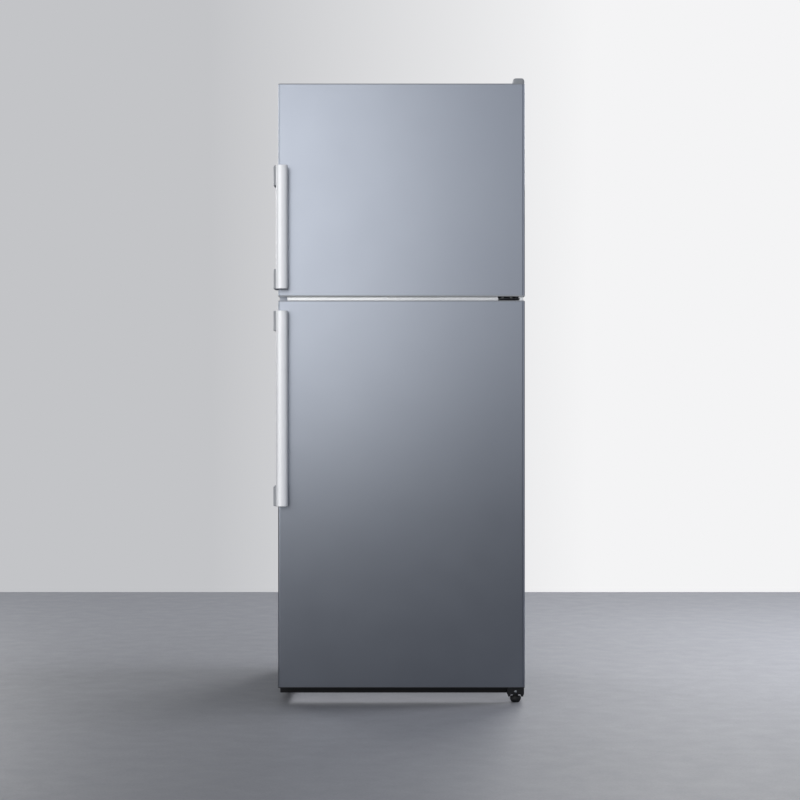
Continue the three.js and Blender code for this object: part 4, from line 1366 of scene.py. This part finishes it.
@dataclass
class BarHandle:
    """Satin bar on two end blocks that wrap the door's edge."""

    door: str
    block_round: float = 7.0
    corner: float = 8.0
    clear: float = 0.3
    heel: tuple[float, float] = (5.0, 16.0)
    plug: float = 3.4
    plug_offset: float = 43.0
    plug_inset: float = 12.0

    def build(self) -> None:
        """Models the bar, its two blocks and their screw plugs."""
        self._bar()
        for end in ("lower", "upper"):
            self._mount(f"{self.door}_handle_{end}_mount", end)

    def _bar(self) -> None:
        """Bar with a flat back, a full rounded face and closed ends."""
        low, high = span(f"{self.door}_handle")
        half = (high.x - low.x) / 2
        middle = (low.x + high.x) / 2
        steps = 40
        outline = [
            (middle - half * math.cos(turn), high.y - (high.y - low.y) * math.sin(turn) ** 0.6)
            for turn in (math.pi * i / steps for i in range(steps + 1))
        ]
        bar = Shape().prism(outline, Axis.Z, low.z, high.z, 1.2 * MM, 3, ends_only=True)
        bar.to_piece(f"{self.door}_handle_bar", ANODISED, self.door, [f"{self.door}_handle"])

    def _mount(self, node: str, end: str) -> None:
        """End block with rounded outer edges and a screw plug in its side.

        Args:
            node: Frame node of the block.
            end: Which end of the bar it is at.
        """
        low, high = span(node)
        door_low, _ = span(f"{self.door}_skin")
        clear, corner, outer = self.clear * MM, self.corner * MM, self.block_round * MM
        reach = corner + clear
        across, back = (size * MM for size in self.heel)
        outline = [(high.x, low.y), (high.x, door_low.y - clear)]
        for i in range(7):
            turn = math.radians(270 - 90 * i / 6)
            outline.append(
                (door_low.x + corner + reach * math.cos(turn), door_low.y + corner + reach * math.sin(turn))
            )
        outline += [(door_low.x - clear, high.y), (low.x + across, high.y), (low.x, high.y - back)]
        for i in range(9):
            turn = math.radians(180 + 90 * i / 8)
            outline.append((low.x + outer + outer * math.cos(turn), low.y + outer + outer * math.sin(turn)))
        block = Shape().prism(outline, Axis.Z, low.z, high.z, 2.2 * MM, 4, ends_only=True)
        block.to_piece(f"{node}_block", GREY_ABS, self.door, [node], angle=30)
        offset = self.plug_offset * MM
        z = high.z - offset if end == "upper" else low.z + offset
        y = low.y + self.plug_inset * MM
        plug = Shape().rod(
            (low.x + 1.2 * MM, y, z), (low.x + 0.1 * MM, y, z), self.plug * MM, 28, edge=clear
        )
        plug.to_piece(f"{node}_plug", BLACK_PP, self.door)


@dataclass
class Door:
    """A foam filled door: wrapped skin, end caps, inner panel, seal, handle and bins."""

    name: str
    bins: tuple[str, ...]
    room: tuple[float, float]
    corner: float = 8.0
    fold: float = 12.0
    sheet: float = 1.0
    lip: float = 2.5
    flange_step: float = 0.4
    frame_half: float = 268.0
    frame_inset: float = 8.0
    frame_wall: float = 18.0
    frame_round: float = 5.0
    seal: float = 18.0
    bin_corner: float = 12.0
    bin_wall: float = 2.2
    bin_rail: tuple[float, float] = (4.5, 15.0)
    bottom_cap: Finish = GLOSS_ABS
    top_cap: Finish = GREY_ABS

    def build(self) -> None:
        """Models and dresses the door."""
        self._skin()
        soften(f"{self.name}_bottom_cap", self.bottom_cap, 0.7)
        soften(f"{self.name}_top_cap", self.top_cap, 0.7)
        dress(f"{self.name}_foam", FOAM)
        self._panel()
        self._seal()
        BarHandle(self.name).build()
        for node in self.bins:
            self._bin(node)

    def _skin(self) -> None:
        """Steel sheet wrapped round the front and both edges."""
        low, high = span(f"{self.name}_skin")
        fold = self.fold * MM
        corners = [
            (low.x + fold, high.y), (low.x, high.y), (low.x, low.y), (high.x, low.y), (high.x, high.y),
            (high.x - fold, high.y),
        ]
        bends = [1.6 * MM, self.corner * MM, self.corner * MM, 1.6 * MM]
        inside = Vector((0, (low.y + high.y) / 2, (low.z + high.z) / 2))
        lip = self.lip * MM
        shape = Shape().sheet(corners, Axis.Z, low.z + lip, high.z - lip, bends, inside, segments=10)
        shape.to_piece(
            f"{self.name}_skin_sheet", STAINLESS, self.name, [f"{self.name}_skin"], self.sheet * MM,
            rim=0.35 * MM, oriented=True,
        )
        sunk = self.flange_step * MM
        for end, finish, z0, z1 in (
            ("bottom", self.bottom_cap, low.z + sunk, low.z + lip),
            ("top", self.top_cap, high.z - lip, high.z - sunk),
        ):
            front = [*self._rounded(low, 180), *self._rounded(high, 270)]
            outline = [(low.x, high.y), *front, (high.x, high.y)]
            flange = Shape().prism(outline, Axis.Z, z0, z1, 0.6 * MM, 3, ends_only=True)
            flange.to_piece(f"{self.name}_{end}_flange", finish, self.name)

    def _rounded(self, side: Vector, start: float) -> list[Point]:
        """Points round one of the door's upright front corners.

        Args:
            side: Corner of the skin's box that gives which side it is.
            start: Direction where the arc starts, in degrees.

        Returns:
            Points in plan.
        """
        front = span(f"{self.name}_skin")[0].y
        radius = self.corner * MM
        x = side.x + (radius if start == 180 else -radius)
        turns = [math.radians(start + 90 * i / 8) for i in range(9)]
        return [(x + radius * math.cos(t), front + radius + radius * math.sin(t)) for t in turns]

    def _panel(self) -> None:
        """Formed inner panel with its raised frame."""
        node = f"{self.name}_liner"
        low, high = span(node)
        back = span(f"{self.name}_skin")[1].y
        panel = Shape().block(low, (high.x, back, high.z), 0.8 * MM, 2)
        half, inset = self.frame_half * MM, self.frame_inset * MM
        frame_low = Vector((-half, back - 1 * MM, self.room[0] * MM + inset))
        frame_high = Vector((half, high.y, self.room[1] * MM - inset))
        ring = Shape()
        place = Matrix.LocRotScale((frame_low + frame_high) / 2, None, frame_high - frame_low)
        bmesh.ops.create_cube(ring.bm, size=1.0, matrix=place)
        ring.bm.normal_update()
        top = [f for f in ring.bm.faces if f.normal.y > 0.9]
        bmesh.ops.inset_region(ring.bm, faces=top, thickness=self.frame_wall * MM)
        made = bmesh.ops.extrude_face_region(ring.bm, geom=top)
        moved = [g for g in made["geom"] if isinstance(g, BMVert)]
        bmesh.ops.translate(ring.bm, verts=moved, vec=(0, back - high.y, 0))
        bmesh.ops.delete(ring.bm, geom=top, context="FACES_ONLY")
        sharp = [e for e in ring.bm.edges if len(e.link_faces) == 2 and e.calc_face_angle(0) > 1.0]
        ring.bevel(sharp, self.frame_round * MM, 4)
        ring.to_piece(f"{node}_frame", WHITE_LINER, self.name)
        panel.to_piece(f"{node}_panel", WHITE_LINER, self.name, [node])

    def _seal(self) -> None:
        """Magnetic seal with a rounded nose and a bellows groove."""
        node = f"{self.name}_gasket"
        low, high = span(node)
        width, depth = self.seal * MM, high.y - low.y
        section = [
            (0.0, 0.0), (1.0, 0.0), (1.0, 0.22), (0.86, 0.34), (0.86, 0.5), (1.0, 0.62), (1.0, 0.88),
            (0.9, 1.0), (0.1, 1.0), (0.0, 0.88), (0.0, 0.62), (0.14, 0.5), (0.14, 0.34), (0.0, 0.22),
        ]
        shape = Shape()
        bm = shape.bm
        corners = [
            (low.x, low.z, 1, 1), (high.x, low.z, -1, 1), (high.x, high.z, -1, -1), (low.x, high.z, 1, -1)
        ]
        rings = []
        for x, z, sx, sz in corners:
            verts = [
                bm.verts.new((x + sx * u * width, low.y + v * depth, z + sz * u * width)) for u, v in section
            ]
            rings.append([bm.edges.new(pair) for pair in zip(verts, verts[1:] + verts[:1])])
        for i in range(4):
            bmesh.ops.bridge_loops(bm, edges=rings[i] + rings[(i + 1) % 4])
        shape.to_piece(f"{node}_bellows", SEAL_PVC, self.name, [node])

    def _bin(self, node: str) -> None:
        """Clear bin with a rolled front rail.

        Args:
            node: Frame node of the bin.
        """
        low, high = span(node)
        tub = Shape().tray(low, high, self.bin_corner * MM, 8 * MM, Axis.Z.unit())
        tub.to_piece(f"{node}_tub", CRYSTAL, self.name, [node], self.bin_wall * MM, rim=0.6 * MM)
        (deep, tall), ends, top = self.bin_rail, self.bin_corner * MM, high.z - 1 * MM
        rail = Shape().block(
            (low.x + ends, high.y - deep * MM, top - tall * MM), (high.x - ends, high.y, top), 2 * MM, 4
        )
        rail.to_piece(f"{node}_rail", WHITE_LINER, self.name)


@dataclass
class DairyLid:
    """Hinged clear lid over the dairy bin."""

    wall: float = 2.5
    brow: tuple[float, float] = (6.0, 1.8)

    def build(self) -> None:
        """Models the lid."""
        low, high = span("dairy_cover")
        wall, (long, short) = self.wall * MM, (size * MM for size in self.brow)
        y, z = high.y, high.z
        profile = [
            (low.y, z - wall), (low.y, z), (y - long, z), (y - short, z - short), (y, z - long), (y, low.z),
            (y - wall, low.z), (y - wall, z - wall),
        ]
        lid = Shape().prism(profile, Axis.X, low.x, high.x, 0.8 * MM, 3)
        lid.to_piece("dairy_cover_lid", CRYSTAL, "dairy_lid", ["dairy_cover"])


# ---------------------------------------------------------------- studio


@dataclass
class Studio:
    """Camera, pale floor and soft lights."""

    distance: float = 5.0
    eye: float = 0.81
    lens: float = 84.2
    aside: float = -0.004
    floor_low: tuple[float, float, float] = (-7.0, -8.0, -0.02)
    floor_high: tuple[float, float, float] = (7.0, 2.59, -0.0002)

    def camera(self) -> None:
        """Level camera square to the doors."""
        data = bpy.data.cameras.new("camera")
        data.lens, data.sensor_width = self.lens, 36.0
        camera = bpy.data.objects.new("camera", data)
        bpy.context.scene.collection.objects.link(camera)
        front = span("fridge_door_skin")[0].y
        camera.location = (self.aside, front - self.distance, self.eye)
        camera.rotation_euler = (math.radians(90), 0, 0)
        bpy.context.scene.camera = camera

    def build(self) -> None:
        """Makes the floor, the lights and the surrounding tone."""
        self.camera()
        floor = self._floor()
        self._world()
        self._card("key_card", (-4.4, 0.0), (0.54, 3.3), 1.86, "fffefc")
        self._card("right_card", (0.0, 3.6), (0.7, 3.2), 0.35, "f8faff")
        self._light("side", (-3.2, -1.8, 1.6), (0.0, -0.1, 1.0), (1.8, 3.0), 26.0, "ffffff")
        self._light("fill", (3.4, -1.4, 1.5), (0.0, 0.0, 0.9), (1.8, 2.8), 11.0, "f4f7ff")
        self._light("rim", (1.6, 3.4, 2.6), (0.0, 0.0, 0.9), (2.0, 1.6), 60.0, "ffffff")
        self._light("rear", (-2.4, 2.8, 2.0), (0.0, 0.3, 0.8), (1.4, 1.8), 45.0, "ffffff")
        self._light("floor_wash", (2.9, 0.4, 1.7), (1.9, 1.2, 0.0), (1.6, 1.6), 150.0, "fafbff", [floor])
        below = (0.0, -0.19, 0.0)
        self._light("under_glow", (0.0, -0.19, 0.013), below, (0.6, 0.2), 0.33, "fafbff", [floor])

    def accent(self) -> None:
        """Adds the soft lights that only the bar handles or the bright strip take."""
        bars = [piece for piece in bpy.data.objects if piece.name.endswith("_handle_bar")]
        trim = [bpy.data.objects["mullion_rail_trim"]]
        self._light("bar_left", (-2.4, -4.0, 1.5), (-0.3, -0.3, 1.2), (1.6, 2.6), 42.0, "ffffff", bars)
        self._light("bar_right", (1.8, -3.6, 1.5), (-0.3, -0.3, 1.2), (1.6, 2.6), 22.0, "fafbff", bars)
        self._light("strip_right", (1.3, -4.8, 0.8), (0.2, -0.2, 1.08), (2.4, 0.9), 5.0, "ffffff", trim)

    def _floor(self) -> bpy.types.Object:
        """Pale floor that is dimmer in reflections, as if flagged off from the doors."""
        shape = Shape().block(self.floor_low, self.floor_high)
        mesh = bpy.data.meshes.new("floor")
        shape.bm.to_mesh(mesh)
        shape.bm.free()
        floor = bpy.data.objects.new("floor", mesh)
        bpy.context.scene.collection.objects.link(floor)
        paint = Finish(
            "sealed_pale_floor", "foam", "737479", "6d6e73", 0.55, grain=(4.0, 4.0, 4.0), relief=0.05,
            blotch=900.0,
        )
        made = paint.material()
        mesh.materials.append(made)
        tree = made.node_tree
        shader = next(n for n in tree.nodes if n.type == "BSDF_PRINCIPLED")
        output = next(n for n in tree.nodes if n.type == "OUTPUT_MATERIAL")
        dim = add_node(tree, "ShaderNodeBsdfDiffuse", {"Color": linear("505155")})
        path = add_node(tree, "ShaderNodeLightPath")
        both = add_node(
            tree, "ShaderNodeMixShader",
            links={0: path.outputs["Is Glossy Ray"], 1: shader.outputs["BSDF"], 2: dim.outputs["BSDF"]},
        )
        tree.links.new(both.outputs[0], output.inputs["Surface"])
        return floor

    def _world(self) -> None:
        """Pale surround for the eye, and a softer graded one for the reflections."""
        world = bpy.data.worlds.new("surround")
        bpy.context.scene.world = world
        world.use_nodes = True
        tree = world.node_tree
        tree.nodes.clear()
        direction = add_node(tree, "ShaderNodeTexCoord").outputs["Generated"]
        parts = add_node(tree, "ShaderNodeSeparateXYZ", links={"Vector": direction})
        height = add_node(
            tree, "ShaderNodeMapRange",
            {"From Min": -0.12, "From Max": 0.28, "To Min": 0.0, "To Max": 1.0},
            {"Value": parts.outputs["Z"]},
        )
        graded = add_node(
            tree, "ShaderNodeMix",
            {"data_type": "RGBA", 6: linear("141518"), 7: linear("bfc3c9")},
            {0: height.outputs["Result"]},
        )
        soft = add_node(tree, "ShaderNodeBackground", {"Strength": 0.6}, {"Color": graded.outputs[2]})
        across = add_node(
            tree, "ShaderNodeMapRange",
            {"From Min": -0.1, "From Max": 0.1, "To Min": 0.0, "To Max": 1.0},
            {"Value": parts.outputs["X"]},
        )
        wall = add_node(
            tree, "ShaderNodeMix",
            {"data_type": "RGBA", 6: linear("c3c4c7"), 7: linear("f4f4f5")},
            {0: across.outputs["Result"]},
        )
        seen = add_node(tree, "ShaderNodeBackground", {"Strength": 1.0}, {"Color": wall.outputs[2]})
        path = add_node(tree, "ShaderNodeLightPath")
        both = add_node(
            tree, "ShaderNodeMixShader",
            links={0: path.outputs["Is Camera Ray"], 1: soft.outputs[0], 2: seen.outputs[0]},
        )
        add_node(tree, "ShaderNodeOutputWorld", links={"Surface": both.outputs[0]})

    def _card(self, name: str, across: Point, upright: Point, radiance: float, tint: str) -> None:
        """Adds an upright card of light behind the camera, square to the doors.

        Args:
            name: Light name.
            across: Where it starts and ends along X, in metres.
            upright: Where it starts and ends along Z, in metres.
            radiance: Brightness of its face, 1 showing as white in a mirror.
            tint: Colour as a hex code.
        """
        back = -self.distance - 0.9
        width, height = across[1] - across[0], upright[1] - upright[0]
        place = (sum(across) / 2, back, sum(upright) / 2)
        power = radiance * math.pi * width * height
        self._light(name, place, (place[0], 0, place[2]), (width, height), power, tint)

    def _light(
        self, name: str, place: Sequence[float], aim: Sequence[float], size: Point, power: float, tint: str,
        only: Sequence[bpy.types.Object] = (),
    ) -> None:
        """Adds a rectangular soft light.

        Args:
            name: Light name.
            place: Where it stands, in metres.
            aim: Point that it faces.
            size: Width and height, in metres.
            power: Watts.
            tint: Colour as a hex code.
            only: Objects that it lights, or none for all.
        """
        data = bpy.data.lights.new(name, "AREA")
        data.shape, data.size, data.size_y, data.energy = "RECTANGLE", size[0], size[1], power
        data.color = linear(tint)[:3]
        light = bpy.data.objects.new(name, data)
        bpy.context.scene.collection.objects.link(light)
        light.location = place
        light.visible_camera = False
        light.rotation_mode = "QUATERNION"
        light.rotation_quaternion = (Vector(aim) - Vector(place)).to_track_quat("-Z", "Y")
        if only:
            lit = bpy.data.collections.new(f"{name}_lights")
            for piece in only:
                lit.objects.link(piece)
            light.light_linking.receiver_collection = lit


def main() -> None:
    """Builds the sub-assemblies in order."""
    logging.basicConfig(level=logging.INFO, format="%(name)s: %(message)s")
    bpy.context.scene.view_settings.view_transform = "Standard"
    studio = Studio()
    studio.build()
    cabinet = Cabinet()
    cabinet.build()
    FreezerInterior().build()
    FridgeInterior().build()
    MachineBay().build()
    Hinges().build()
    Door("freezer_door", ("freezer_bin_lower", "freezer_bin_upper"), cabinet.freezer_room).build()
    # The fridge door's bottom cap wears painted shade: dark where the shadow above the floor falls.
    Door(
        "fridge_door", ("fridge_bin_lower", "fridge_bin_middle", "fridge_bin_upper", "dairy_bin"),
        cabinet.fridge_room, bottom_cap=SHADED_CAP_ABS,
    ).build()
    DairyLid().build()
    studio.accent()


if __name__ == "__main__":
    main()
